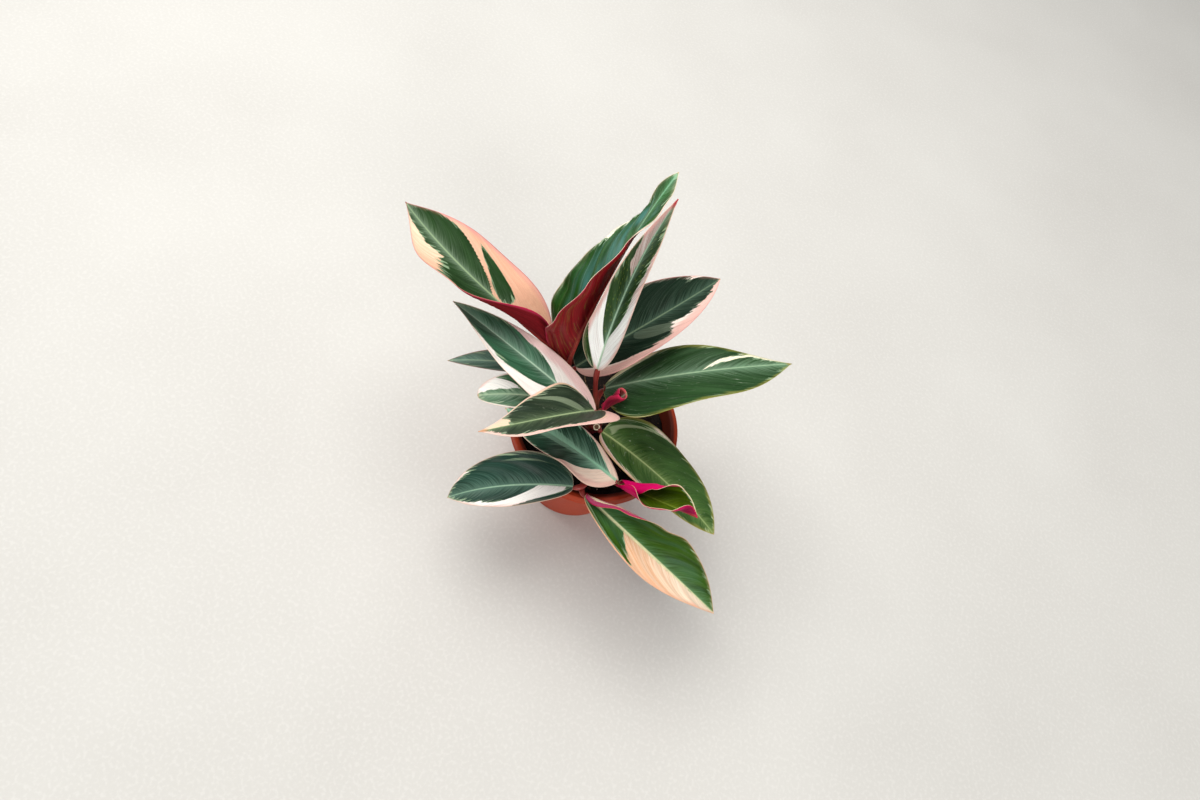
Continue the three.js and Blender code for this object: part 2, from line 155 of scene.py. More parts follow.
def light_the_room():
    world = bpy.data.worlds.new("pale room")
    world.use_nodes = True
    background = world.node_tree.nodes["Background"]
    background.inputs["Color"].default_value = ROOM_COLOUR
    background.inputs["Strength"].default_value = ROOM_STRENGTH
    bpy.context.scene.world = world
    for name, values in LIGHTS.items():
        add_soft_light(name, **values)
    bpy.context.scene.view_settings.view_transform = "Standard"


# ------------------------------------------------------------------ paint


def tint(code):
    """Linear red, green, blue and alpha of a colour written as #rrggbb."""
    shares = [int(code[i:i + 2], 16) / 255 for i in (1, 3, 5)]
    linear = [c / 12.92 if c <= 0.04045 else ((c + 0.055) / 1.055) ** 2.4 for c in shares]
    return (*linear, 1.0)


class Paint:
    """One material: its shader, and short ways to add the nodes that feed it."""

    def __init__(self, name, roughness=0.5, specular=0.32):
        self.material = bpy.data.materials.new(name)
        self.material.use_nodes = True
        self.tree = self.material.node_tree
        self.shader = self.tree.nodes["Principled BSDF"]
        self.shader.inputs["Roughness"].default_value = roughness
        self.shader.inputs["Specular IOR Level"].default_value = specular

    def feed(self, socket, source):
        if isinstance(source, bpy.types.NodeSocket):
            self.tree.links.new(source, socket)
        else:
            socket.default_value = source

    def node(self, kind, *sources, **settings):
        """Adds a node and feeds its first inputs."""
        node = self.tree.nodes.new(kind)
        for key, value in settings.items():
            setattr(node, key, value)
        for socket, source in zip(node.inputs, sources):
            self.feed(socket, source)
        return node

    def number(self, attribute):
        return self.node("ShaderNodeAttribute", attribute_name=attribute).outputs["Fac"]

    def vector(self, attribute):
        return self.node("ShaderNodeAttribute", attribute_name=attribute).outputs["Vector"]

    def place(self):
        """Object coordinates in millimetres."""
        coordinates = self.node("ShaderNodeTexCoord").outputs["Object"]
        return self.stretch(coordinates, (1 / MM, 1 / MM, 1 / MM))

    def stretch(self, vector, factors):
        return self.node("ShaderNodeVectorMath", vector, factors, operation="MULTIPLY").outputs[0]

    def length(self, vector):
        return self.node("ShaderNodeVectorMath", vector, operation="LENGTH").outputs["Value"]

    def part(self, vector, axis):
        """One component of a vector."""
        return self.node("ShaderNodeSeparateXYZ", vector).outputs[axis]

    def math(self, operation, *numbers, clamp=False):
        return self.node("ShaderNodeMath", *numbers, operation=operation, use_clamp=clamp).outputs[0]

    def add(self, first, second, clamp=False):
        return self.math("ADD", first, second, clamp=clamp)

    def less(self, first, second):
        return self.math("SUBTRACT", first, second)

    def times(self, first, second):
        return self.math("MULTIPLY", first, second)

    def scaled(self, value, factor, shift, clamp=False):
        return self.math("MULTIPLY_ADD", value, factor, shift, clamp=clamp)

    def step(self, value, low, high):
        """0 below low, 1 above high, smooth between; high may be the lower one."""
        node = self.node("ShaderNodeMapRange", interpolation_type="SMOOTHSTEP")
        flip = high < low
        self.feed(node.inputs["Value"], value)
        self.feed(node.inputs["From Min"], min(low, high))
        self.feed(node.inputs["From Max"], max(low, high))
        self.feed(node.inputs["To Min"], 1.0 if flip else 0.0)
        self.feed(node.inputs["To Max"], 0.0 if flip else 1.0)
        return node.outputs["Result"]

    def mix(self, factor, first, second):
        node = self.node("ShaderNodeMix", data_type="RGBA")
        self.feed(node.inputs["Factor"], factor)
        self.feed(node.inputs[6], first)
        self.feed(node.inputs[7], second)
        return node.outputs[2]

    def blend(self, factor, first, second):
        """Mixes two colours that are written as codes."""
        return self.mix(factor, tint(first), tint(second))

    def over(self, colour, code, share, *more):
        """Lays a colour over another one, as thickly as the product of the shares."""
        for factor in more:
            share = self.times(share, factor)
        return self.mix(share, colour, tint(code))

    def noise(self, vector, scale=1.0, detail=2.0, roughness=0.5):
        node = self.node("ShaderNodeTexNoise", vector)
        node.inputs["Scale"].default_value = scale
        node.inputs["Detail"].default_value = detail
        node.inputs["Roughness"].default_value = roughness
        return node.outputs["Fac"]

    def sway(self, value, reach):
        """Noise around a half turned into a shift of about plus and minus reach."""
        return self.scaled(value, 4 * reach, -2 * reach)

    def strips(self, value, width, reach):
        """A random shift of up to plus and minus reach, the same all over each strip of that width."""
        node = self.node("ShaderNodeTexWhiteNoise", noise_dimensions="1D")
        self.feed(node.inputs["W"], self.math("FLOOR", self.math("DIVIDE", value, width)))
        return self.scaled(node.outputs["Value"], 2 * reach, -reach)

    def spots(self, vector):
        """Distance to scattered points, about one in each unit cell."""
        node = self.node("ShaderNodeTexVoronoi", vector)
        node.inputs["Scale"].default_value = 1
        return node.outputs["Distance"]

    def bump(self, height, depth, strength=1.0):
        """Raises the surface by up to depth millimetres."""
        node = self.node("ShaderNodeBump")
        node.inputs["Strength"].default_value = strength
        node.inputs["Distance"].default_value = depth * MM
        self.feed(node.inputs["Height"], height)
        self.feed(self.shader.inputs["Normal"], node.outputs["Normal"])

    def finish(self, colour, roughness=None):
        self.feed(self.shader.inputs["Base Color"], colour)
        if roughness is not None:
            self.feed(self.shader.inputs["Roughness"], roughness)
        return self.material


def speckled(name, roughness, scale, dark, light, detail=2, relief=0):
    """A material of one noise between two colours, raised by it if relief is given."""
    paint = Paint(name, roughness=roughness)
    grain = paint.noise(paint.place(), scale=scale, detail=detail)
    if relief:
        paint.bump(grain, depth=relief)
    return paint.finish(paint.blend(grain, dark, light))


# ------------------------------------------------------------------ leaves: the table


@dataclass
class Leaf:
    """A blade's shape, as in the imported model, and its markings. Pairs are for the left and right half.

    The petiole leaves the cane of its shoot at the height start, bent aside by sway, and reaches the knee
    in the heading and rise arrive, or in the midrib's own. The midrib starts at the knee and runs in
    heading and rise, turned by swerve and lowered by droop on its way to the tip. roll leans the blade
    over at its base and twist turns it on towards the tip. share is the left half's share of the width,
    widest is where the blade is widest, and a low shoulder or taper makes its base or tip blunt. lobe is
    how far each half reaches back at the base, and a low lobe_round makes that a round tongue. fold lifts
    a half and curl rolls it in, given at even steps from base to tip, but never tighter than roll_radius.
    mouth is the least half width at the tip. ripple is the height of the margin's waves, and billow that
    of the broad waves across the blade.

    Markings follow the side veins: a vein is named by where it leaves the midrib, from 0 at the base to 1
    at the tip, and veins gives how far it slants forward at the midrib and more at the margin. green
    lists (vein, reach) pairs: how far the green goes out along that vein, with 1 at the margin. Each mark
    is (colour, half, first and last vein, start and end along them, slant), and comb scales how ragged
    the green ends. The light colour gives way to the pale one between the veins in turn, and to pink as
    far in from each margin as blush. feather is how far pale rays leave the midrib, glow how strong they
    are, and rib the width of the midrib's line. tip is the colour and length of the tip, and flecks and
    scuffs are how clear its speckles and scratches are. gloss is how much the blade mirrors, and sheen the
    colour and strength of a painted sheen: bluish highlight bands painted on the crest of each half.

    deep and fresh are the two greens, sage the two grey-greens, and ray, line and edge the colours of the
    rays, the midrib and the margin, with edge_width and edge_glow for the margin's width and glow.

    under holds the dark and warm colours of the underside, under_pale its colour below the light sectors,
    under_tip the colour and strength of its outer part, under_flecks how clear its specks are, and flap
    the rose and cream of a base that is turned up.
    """

    shoot: str
    start: float
    knee: tuple
    heading: float
    rise: float
    droop: float
    swerve: float
    length: float
    width: float
    share: float
    widest: float
    shoulder: float
    taper: float
    fold: tuple
    green: tuple
    roll: float = 0
    twist: float = 0
    lobe: tuple = (3, 3)
    lobe_round: float = 1.0
    curl: tuple = (None, None)
    roll_radius: tuple = (1.0, 1.0)
    mouth: float = 0.35
    arrive: tuple = None
    sway: tuple = (0, 0)
    ripple: float = 0.55
    billow: float = 0.25
    veins: tuple = (1.1, 1.6)
    marks: tuple = ()
    comb: float = 1.0
    turn: tuple = (0.0, 1.0)
    blush: tuple = (1.0, 1.0)
    feather: float = 2.5
    glow: float = 0.65
    rib: float = 0.55
    deep: str = "#1a3a25"
    fresh: str = "#3a6146"
    ray: str = "#86ab96"
    line: str = "#b3c9a0"
    light: str = "#efe7cf"
    pale: str = "#fbf7ec"
    pink: str = "#dfa6a0"
    edge: str = "#d8b9a2"
    edge_width: float = 0.35
    edge_glow: float = 0.12
    sage: tuple = ("#6d8a68", "#98aa88")
    tip: tuple = ("#b59a70", 1.2)
    flecks: float = 0.0
    scuffs: float = 0.0
    gloss: float = 0.16
    # colour and strength of the painted sheen: bluish highlight bands painted into the upper face's colour
    sheen: tuple = ("#4f8578", 0.0)
    under: tuple = ("#4a0a10", "#851c22")
    under_pale: str = "#a83048"
    under_tip: tuple = ("#7a1a38", 0.0)
    under_flecks: float = 0.0
    flap: tuple = None


ALL_GREEN = ((0, 1.02), (1, 1.02))
FLAT = (10, 10, 10)

LEAVES = {
    "back_left": Leaf(
        shoot="left", start=92, knee=(-48, 8, 140), arrive=(190, 75), heading=187, rise=33, droop=44,
        swerve=-43, length=137, width=52, share=0.45, twist=-25,
        widest=0.44, shoulder=0.55, taper=1.2, lobe=(3, -4),
        fold=((45, 15, -25), (15, -15, 20)), curl=((165, 60, 0), None), roll_radius=(0.5, 1.0),
        veins=(1.2, 2.2),
        green=(
            ((0.16, 0.92), (0.32, 0.75), (0.5, 0.5), (0.57, 0.42), (0.6, 0.2), (0.66, 0.34), (0.81, 0.56),
             (0.87, 0.8), (1, 0.9)),
            ((0.365, 0), (0.385, 0.72), (0.42, 0.84), (0.5, 0.95), (0.6, 1.1)),
        ),
        marks=(("green", 1, 0.165, 0.325, 0.04, 0.81, -0.18),),
        blush=(-1.0, 2.2), feather=2.2, deep="#142c0e", fresh="#274220", ray="#8aa083", line="#93a87a",
        light="#dba184", pale="#f8dcbc", pink="#da948c", edge="#c46a6a", tip=("#8a5a4a", 2), gloss=0.03,
    ),
    "back_tall": Leaf(
        shoot="left", start=96, knee=(-33, 8, 125), heading=86, rise=97, droop=81,
        swerve=-7, length=158, width=58, share=0.61, twist=-5,
        widest=0.29, shoulder=0.7, taper=0.9, lobe=(-16, -9),
        fold=((-25, -29, -36, -40, -47, -64, -15), (175, 165, 130, 106, 84, 45, -15)),
        ripple=1.5, billow=0.8,
        green=(
            ((0.1, 1.02), (0.15, 0.95), (0.28, 0.9), (0.3, 0.96), (0.5, 0.95), (0.62, 1.02)),
            ((0.3, 1.0), (0.5, 0.95), (0.7, 0.93), (0.8, 1.02)),
        ),
        blush=(-1.0, 1.5), feather=1.9, glow=0.55, rib=0.9, deep="#103003", fresh="#265418",
        # a painted sheen of bluish highlight bands on the crests of this blade
        ray="#5f9a6a", line="#7fb08c", edge="#e2cdb0", sheen=("#55908e", 0.42),
        under=("#6a0c12", "#921c22"), under_flecks=0.55,
    ),
    "back_narrow": Leaf(
        shoot="centre", start=103, knee=(-14, 2, 148), heading=110, rise=73, droop=24,
        swerve=-36, length=122, width=31, share=0.59, roll=-5, twist=15,
        widest=0.42, shoulder=0.65, taper=1.1, fold=((0, 50, 60), (40, 50, 20)),
        veins=(2.4, 0.2),
        green=(
            ((-0.05, 1.05), (-0.01, 0), (0.15, 0), (0.19, 0.96), (0.4, 0.95), (0.46, 0.86), (0.54, 0.1),
             (1, 0.03)),
            ((0.2, 0), (0.225, 0.42), (0.26, 0.55), (0.34, 0.62), (0.44, 0.68), (0.55, 0.8), (0.64, 0.95)),
        ),
        marks=(("green", -1, 0.4, 0.6, 0.5, 1.1, 0.08),), comb=0.4, turn=(0.2, 0.36),
        blush=(3.4, 1.2), feather=1.6, deep="#0f2005", fresh="#2c4a20", ray="#8db094", line="#b5cfb4",
        light="#fdfdf8", pale="#9c6e60", pink="#dba39c", tip=("#b3122f", 6), flecks=0.8,
    ),
    "right_upper": Leaf(
        shoot="left", start=97, knee=(-28, 9, 128), heading=43, rise=47, droop=51,
        swerve=22, length=118, width=48, share=0.54,
        widest=0.41, shoulder=0.55, taper=1.0, fold=((10, 10, 25), (0, 20, 20)), billow=0.1,
        green=(
            ALL_GREEN,
            ((-0.05, 0.2), (0.03, 0.8), (0.2, 0.84), (0.3, 0.74), (0.4, 0.62), (0.47, 0.45), (0.5, 0.58),
             (0.56, 0.63), (0.78, 0.68), (0.9, 0.5), (1, 0.3)),
        ),
        marks=(("sage", 1, 0.3, 0.47, 0.05, 0.95, 0), ("light", -1, 0.58, 0.73, 0.87, 1.1, 0)),
        blush=(0.5, 6.0), feather=2.6, glow=0.45, deep="#0b1a11", fresh="#16291d", ray="#5f7a66",
        line="#76896a", light="#f3dccd", pink="#e2ada0", edge="#c98a84", sage=("#45533f", "#667260"),
        gloss=0.04,
    ),
    "right_long": Leaf(
        shoot="centre", start=100, knee=(-5, 8, 120), heading=19, rise=45, droop=51,
        swerve=17, length=130, width=53, share=0.4, roll=-10, twist=-5,
        widest=0.37, shoulder=0.6, taper=1.1, fold=((-5, 15, -10), (-15, 15, -10)),
        veins=(1.6, 1.2),
        green=(ALL_GREEN, ALL_GREEN),
        marks=(
            ("light", -1, 0.56, 0.63, 0.14, 1.3, 0.14),
            ("light", -1, 0.56, 1.0, 0.78, 1.22, 0),
            ("light", -1, -0.24, -0.1, 0.5, 1.3, -0.12),
            ("light", 1, -0.46, -0.385, 0.95, 1.1, 0),
        ),
        blush=(-1.0, -1.0), feather=3.8, deep="#163113", fresh="#2c4d27", ray="#86a886", line="#a8c39c",
        light="#e9dfb4", edge="#9c9440", edge_glow=0.4, edge_width=0.2, tip=("#8a7a3a", 4), scuffs=0.5,
        gloss=0.05,
    ),
    "left_upper": Leaf(
        shoot="centre", start=98, knee=(-3, -16, 125), heading=175, rise=21, droop=29,
        swerve=-12, length=119, width=36, share=0.59, roll=5, twist=15,
        widest=0.39, shoulder=0.65, taper=0.9, fold=((-10, 5, 30), (35, 35, 45)), ripple=0.9,
        veins=(0.9, 2.0),
        green=(
            ((0.2, 0), (0.25, 0.72), (0.34, 0.78), (0.48, 0.9), (0.55, 1.0)),
            ((0.27, 0), (0.31, 0.55), (0.35, 0.68), (0.41, 0.72), (0.43, 0.98)),
        ),
        marks=(("green", 1, -0.02, 0.05, 0.1, 0.55, 0),),
        blush=(-0.5, 6.5), feather=2.8, fresh="#36694a", ray="#94b49c", line="#b4cdb0",
        light="#f0e6dc", pink="#f0c4be",
    ),
    "left_small": Leaf(
        shoot="left", start=90, knee=(-37, 7, 118), heading=200, rise=6, droop=42,
        swerve=-9, length=79, width=22, share=0.5, roll=15,
        widest=0.43, shoulder=0.6, taper=1.0, fold=(FLAT, FLAT),
        green=(ALL_GREEN, ((0, 0.95), (1, 0.95))),
        feather=2.4, blush=(1.5, 3.0), deep="#2c4a3a", fresh="#587563", light="#dcb9a8", pink="#a8525a",
        edge="#8f5a55",
    ),
    "left_lower": Leaf(
        shoot="centre", start=94, knee=(-13, -14, 121), heading=193, rise=14, droop=41,
        swerve=10, length=69, width=26, share=0.4, roll=-5, twist=-15,
        widest=0.43, shoulder=0.6, taper=0.5, fold=(FLAT, FLAT),
        green=(
            ((0, 0.92), (1, 0.9)),
            ((-0.1, 0.2), (0, 0.95), (0.46, 0.95), (0.52, 0.28), (0.9, 0.28), (1, 0.4)),
        ),
        comb=0.6, blush=(-0.5, 0.6), deep="#1f4a2c", fresh="#4f7a55", ray="#a5c0a0", light="#f3f1e8",
    ),
    "centre": Leaf(
        shoot="centre", start=98, knee=(-4, -20, 138), arrive=(228, 46), sway=(-3, -3), heading=236,
        rise=39, droop=46, swerve=-17, length=86, width=50, share=0.51, roll=10,
        widest=0.22, shoulder=0.55, taper=1.2, lobe=(11, 0), lobe_round=0.08,
        fold=((31, 36, -5), (10, -10, -30)),
        veins=(1.0, 1.2),
        green=(
            ((-0.13, 0), (-0.06, 0.86), (0.6, 0.86), (0.75, 0.8), (1, 0.5)),
            ((-0.2, 0.94), (0.3, 0.95), (0.55, 0.94), (0.64, 0.95), (0.68, 0.5), (0.8, 0)),
        ),
        marks=(("sage", 1, 0.05, 0.15, -0.1, 1.05, -0.08),), comb=0.6,
        blush=(9.0, 0.4), feather=2.0, deep="#152219", fresh="#323f2d", ray="#7a9066", line="#a9b98a",
        light="#dcb896", pale="#e6cdb0", pink="#e2b3aa", edge="#e0bfae", sage=("#66735c", "#8d9a7c"),
        tip=("#b9825a", 5), scuffs=0.3, gloss=0.08,
    ),
    "inner_low": Leaf(
        shoot="front", start=88, knee=(30, -42, 105), arrive=(-45, 65), heading=174, rise=18,
        droop=18, swerve=5, length=88, width=42, share=0.57, roll=5, twist=-10,
        widest=0.52, shoulder=0.75, taper=1.1, lobe=(2, 3), fold=((-5, 35, 20), (-10, -5, 5)),
        veins=(0.95, 0.2),
        green=(
            ((0.15, 0.02), (0.21, 1.0), (1, 0.96)),
            ((0.05, 0), (0.12, 0.88), (0.2, 0.97), (1, 0.97)),
        ),
        marks=(("sage", -1, 0.3, 1.0, -0.3, 0.3, 0), ("sage", 1, 0.3, 1.0, -0.3, 0.3, 0)),
        blush=(5.0, 1.5), feather=4.6, glow=0.85, rib=1.0, deep="#082f1e", fresh="#23503a",
        ray="#9bcfae", line="#8fc4a0", light="#e9d0ba", pale="#f0e2cf", pink="#dcae9f",
        sage=("#6fa080", "#93c2a2"),
    ),
    "front_left": Leaf(
        shoot="front", start=86, knee=(5, -58, 102), heading=197, rise=-10, droop=43,
        swerve=7, length=94, width=40, share=0.42, twist=-5,
        widest=0.41, shoulder=0.55, taper=1.0, fold=((25, 15, 10), (15, 5, 30)), ripple=0.8,
        veins=(0.6, 2.0),
        green=(
            ((-0.02, 1.02), (0.05, 0), (0.24, 0), (0.28, 0.72), (0.3, 0.8), (0.44, 0.78), (0.58, 0.8),
             (0.74, 0.9)),
            ((0.42, 1.02), (0.47, 0.9), (0.66, 0.86), (0.7, 0.95), (0.8, 1.02)),
        ),
        marks=(("sage", 1, -0.12, 0.2, 0.71, 0.79, 0),),
        blush=(1.6, 1.0), feather=4.5, glow=0.42, deep="#08251b", fresh="#193c31", ray="#7fa58f",
        line="#a5c7a6", light="#f6f0e8", pink="#e3b6ab", gloss=0.15,
    ),
    "front_right": Leaf(
        shoot="centre", start=94, knee=(7, -15, 107), sway=(6, 3), heading=-8, rise=-2, droop=31,
        swerve=-3, length=109, width=45, share=0.63, roll=-5, twist=-5,
        widest=0.4, shoulder=0.45, taper=0.9, lobe=(2, 4), fold=((20, 0, 20), (5, 0, -15)),
        veins=(0.5, 1.4),
        green=(ALL_GREEN, ((-0.07, 0), (0, 0.9), (0.15, 0.92), (0.25, 1.02))),
        marks=(("sage", -1, -0.04, 0.0, 0.1, 1.15, -0.14), ("light", -1, -0.2, -0.02, 0.93, 1.12, 0)),
        blush=(-1.0, 2.6), feather=2.6, deep="#203d10", fresh="#3d5f28", ray="#7f9757", line="#a8b87a",
        light="#ecd9c8", edge="#a9984a", edge_glow=0.35, sage=("#86986c", "#aab78f"), flecks=0.1,
        scuffs=0.35, gloss=0.15,
    ),
    "unrolling": Leaf(
        shoot="front", start=86, knee=(31, -40, 98), heading=-10, rise=28, droop=10,
        swerve=3, length=59, width=40, share=0.51, twist=-10,
        widest=0.5, shoulder=0.9, taper=1.0, lobe=(0, 0),
        fold=((10, 5, 15, 30, 15), (5, 5, 10, 40, 115)),
        curl=((120, 280, 170, 55, 5), (100, 130, 55, 10, 50)),
        green=(((0.02, 0), (0.1, 1.02)), ((0.02, 0), (0.1, 1.02))),
        blush=(-1.0, -1.0), feather=1.2, rib=0.3, deep="#293a00", fresh="#4c6402", ray="#7c9022",
        line="#7d8c34", light="#b01050", pale="#b01050", pink="#b01050", edge="#f1dfb4", edge_width=0.9,
        tip=("#a83a50", 1), gloss=0.04,
        under=("#a0003e", "#e60a70"), under_pale="#d4085e", under_tip=("#6e1430", 0.85),
    ),
    "front_low": Leaf(
        shoot="front", start=86, knee=(15, -58, 98), heading=-19, rise=3, droop=37,
        swerve=16, length=122, width=42, share=0.58,
        widest=0.45, shoulder=0.65, taper=1.0, billow=0.3,
        fold=((20, 5, 40, 35, 35, 25), (30, 10, 35)), curl=((250, 150, 50, 0, 0, 0), None),
        veins=(1.1, 1.4),
        green=(((-0.6, 0.9), (-0.45, 1.02)), ((0.1, 0.95), (0.2, 0.65), (0.25, 0.4), (0.27, 0))),
        blush=(-1.0, 1.2), feather=2.4, rib=0.95, deep="#1f3800", fresh="#365a08", ray="#6f9c72",
        line="#e9e0b0", light="#dba47c", pale="#fff0d8", pink="#e2a58c", edge="#d9a57c",
        # a painted sheen of bluish highlight bands on the crests of this blade
        tip=("#d9b59a", 2), gloss=0.05, sheen=("#4f8068", 0.2), flap=("#bb4c72", "#e9e2b4"),
    ),
    "rolled": Leaf(
        shoot="centre", start=102, knee=(0, -6, 119), heading=32, rise=61, droop=0,
        swerve=0, length=24, width=15, share=0.45,
        widest=0.6, shoulder=0.9, taper=0.3, lobe=(0, 0), mouth=11,
        fold=((0, 0), (0, 0)), curl=((120, 250, 200), (100, 205, 150)), roll_radius=(1.6, 2.4),
        green=(((0, 0.8), (1, 0.6)), ((0, 0.8), (1, 0.6))),
        feather=1, deep="#7a2a26", fresh="#b04a48", light="#d9707a", pink="#c2405e", edge="#e8646c",
        edge_width=0.7, under=("#4e081a", "#8e1834"), under_pale="#b82446",
    ),
}


# ------------------------------------------------------------------ leaves: shape

SIDE = {-1: 0, 1: 1}  # where the left and the right half stand in a leaf's pairs
BASE_HALF_WIDTH = 1.3
SHOULDER_POWER = 2.2
TAPER_POWER = 1.9
LOBE_REACH = 0.12
CROWDING = 0.55
MARK_SIDE_POWER = 1.6
MARK_END_POWER = 2.2
FIELD_LIMIT = 6  # markings are measured no farther from their edge than this

STATION_LENGTH = 1.0
STRIPS = 28
STRIP_CROWDING = 1.3
LEAST_CURL = 0.001

BLADE_THICKNESS = 0.42
MARGIN_THICKNESS = 0.22
MARGIN_RUN = 4  # the blade thins over this distance
RIB_HEIGHT = 1.7
RIB_HALF_WIDTH = 1.4
RIB_TAPER_POWER = 1.4
GROOVE_DEPTH = 0.3
GROOVE_HALF_WIDTH = 0.9

QUILT_SPACING = 3.4
QUILT_HEIGHT = 0.09
WAVE_LENGTH = 31
BILLOW_LENGTH = 23
BILLOW_START = 8  # broad waves grow over this distance from the midrib
CALM_SIDE = 3  # waves die out this close to the midrib and the margin,
CALM_BASE = 0.06  # and in these shares of the length at the base
CALM_TIP = 0.08  # and at the tip
PATTERN_SHIFT = 7.3  # between the noise of one leaf and the next


def along(values, t):
    """A value given at even steps from the base to the tip, eased between them."""
    spans = len(values) - 1
    span = min(int(t * spans), spans - 1)
    return values[span] + (values[span + 1] - values[span]) * ease(t * spans - span)


def half_width(leaf, half, t):
    """How wide a half is there, and how wide it is at its widest."""
    before = max(1 - t / leaf.widest, 0)
    after = max((t - leaf.widest) / (1 - leaf.widest), 0)
    shape = (1 - before**SHOULDER_POWER) ** leaf.shoulder * max(1 - after**TAPER_POWER, 0) ** leaf.taper
    full = leaf.width * (leaf.share if half < 0 else 1 - leaf.share)
    least = BASE_HALF_WIDTH * (1 - t) + leaf.mouth * t
    return math.hypot(full * shape, least), full


def midrib(leaf, stations):
    """Places along the midrib, each with its forward, right and up directions."""
    places = []
    point = Vector(leaf.knee)
    for i in range(stations + 1):
        t = i / stations
        t -= CROWDING * math.sin(FULL_TURN * t) / FULL_TURN
        heading = leaf.heading + leaf.swerve * t
        forward = direction(heading, leaf.rise - leaf.droop * t)
        if places:
            point = point + (places[-1][2] + forward) * leaf.length * (t - places[-1][0]) / 2
        level = direction(heading - 90, 0)
        lift = level.cross(forward)
        roll = math.radians(leaf.roll + leaf.twist * t)
        right = level * math.cos(roll) - lift * math.sin(roll)
        up = lift * math.cos(roll) + level * math.sin(roll)
        places.append((t, point, forward, right, up))
    return places


def cross_section(leaf, half, t, s, width, full):
    """How far out, up and back from the midrib a place lies, and how steep the blade is there."""
    side = SIDE[half]
    fold = math.radians(along(leaf.fold[side], t))
    curl = 0
    if leaf.curl[side]:
        curl = min(math.radians(along(leaf.curl[side], t)), width / leaf.roll_radius[side])
    angle = fold + curl * s
    out = width * s * math.cos(fold)
    rise = width * s * math.sin(fold)
    if curl > LEAST_CURL:
        out = (width / curl) * (math.sin(angle) - math.sin(fold))
        rise = (width / curl) * (math.cos(fold) - math.cos(angle))
    back = leaf.lobe[side] * math.exp(-t / LOBE_REACH) * ease(s) * (width / full) ** leaf.lobe_round
    return out, rise, back, angle


def relief(leaf, half, t, s, across, edge, vein, seed):
    """How far the surface stands out: quilting, broad waves and margin waves, less the midrib's groove."""
    calm = ease(min(across / CALM_SIDE, edge / CALM_SIDE, 1))
    calm *= ease(min(t / CALM_BASE, (1 - t) / CALM_TIP, 1))
    quilt = QUILT_HEIGHT * math.sin(FULL_TURN * vein * leaf.length / QUILT_SPACING)
    wave = leaf.ripple * s**3 * math.sin(FULL_TURN * t * leaf.length / WAVE_LENGTH + seed + half)
    billow = leaf.billow * math.sin(FULL_TURN * vein * leaf.length / BILLOW_LENGTH + 2 * seed)
    groove = GROOVE_DEPTH * math.exp(-(across / GROOVE_HALF_WIDTH) ** 2) * (1 - t)
    return (quilt + wave + billow * ease(across / BILLOW_START)) * calm - groove


def reach_at(stops, vein):
    """How far the green goes out along a vein."""
    if vein <= stops[0][0]:
        return stops[0][1]
    for (first, low), (second, high) in zip(stops, stops[1:]):
        if vein <= second:
            return low + (high - low) * (vein - first) / (second - first)
    return stops[-1][1]


def inside_mark(leaf, mark, half, vein, s, width):
    """Millimetres that a place lies inside a pointed mark, and negative outside it."""
    _, side, first, last, start, end, slant = mark
    if side != half:
        return -FIELD_LIMIT
    middle = (start + end) / 2
    across = (vein - (first + last) / 2 - slant * (s - middle)) / ((last - first) / 2)
    length = (s - middle) / ((end - start) / 2)
    span = min((last - first) * leaf.length, (end - start) * width) / 2
    return (1 - (abs(across) ** MARK_SIDE_POWER + abs(length) ** MARK_END_POWER) ** 0.5) * span


def markings(leaf, half, vein, s, width):
    """How far inside the green and the sage a place lies, in millimetres."""
    green = (reach_at(leaf.green[SIDE[half]], vein) - s) * width
    sage = -FIELD_LIMIT
    for mark in leaf.marks:
        depth = inside_mark(leaf, mark, half, vein, s, width)
        if mark[0] == "green":
            green = max(green, depth)
        elif mark[0] == "light":
            green = min(green, -depth)
        else:
            sage = max(sage, depth)
    return max(min(green, FIELD_LIMIT), -FIELD_LIMIT), sage


def blade_sheet(name, leaf):
    """A sheet that starts as a flat grid and is laid out along the midrib, vertex by vertex."""
    seed = sorted(LEAVES).index(name)
    stations = round(leaf.length / STATION_LENGTH)
    bm = bmesh.new()
    layers = bm.verts.layers
    thickness = layers.deform.verify()
    green = layers.float.new("green")
    sage = layers.float.new("sage")
    rim = layers.float.new("rim")
    rib = layers.float.new("rib")
    veins = layers.float_vector.new("veins")
    bmesh.ops.create_grid(bm, x_segments=stations, y_segments=2 * STRIPS, size=1)
    places = midrib(leaf, stations)
    for vert in bm.verts:
        station = round((vert.co.x + 1) / 2 * stations)
        strip = round(-vert.co.y * STRIPS)
        t, point, forward, right, up = places[station]
        half = -1 if strip < 0 else 1
        s = (abs(strip) / STRIPS) ** STRIP_CROWDING
        width, full = half_width(leaf, half, t)
        across = s * width
        edge = (1 - s) * width
        vein = t - across * (leaf.veins[0] + leaf.veins[1] * s * s) / leaf.length

        out, rise, back, angle = cross_section(leaf, half, t, s, width, full)
        normal = up * math.cos(angle) - right * half * math.sin(angle)
        height = relief(leaf, half, t, s, across, edge, vein, seed)
        vert.co = (point + right * half * out + up * rise - forward * back + normal * height) * MM

        vert[green], vert[sage] = markings(leaf, half, vein, s, width)
        vert[rim] = min(edge, (1 - t) * leaf.length * 0.5)
        vert[rib] = across
        vert[veins] = (vein * leaf.length, half * across, PATTERN_SHIFT * seed)
        thin = MARGIN_THICKNESS + (BLADE_THICKNESS - MARGIN_THICKNESS) * ease(edge / MARGIN_RUN)
        ridge = max(1 - (across / RIB_HALF_WIDTH) ** 2, 0) * RIB_HEIGHT * (1 - t) ** RIB_TAPER_POWER
        vert[thickness][0] = (thin + ridge) / (BLADE_THICKNESS + RIB_HEIGHT)
    return bm


# ------------------------------------------------------------------ leaves: paint

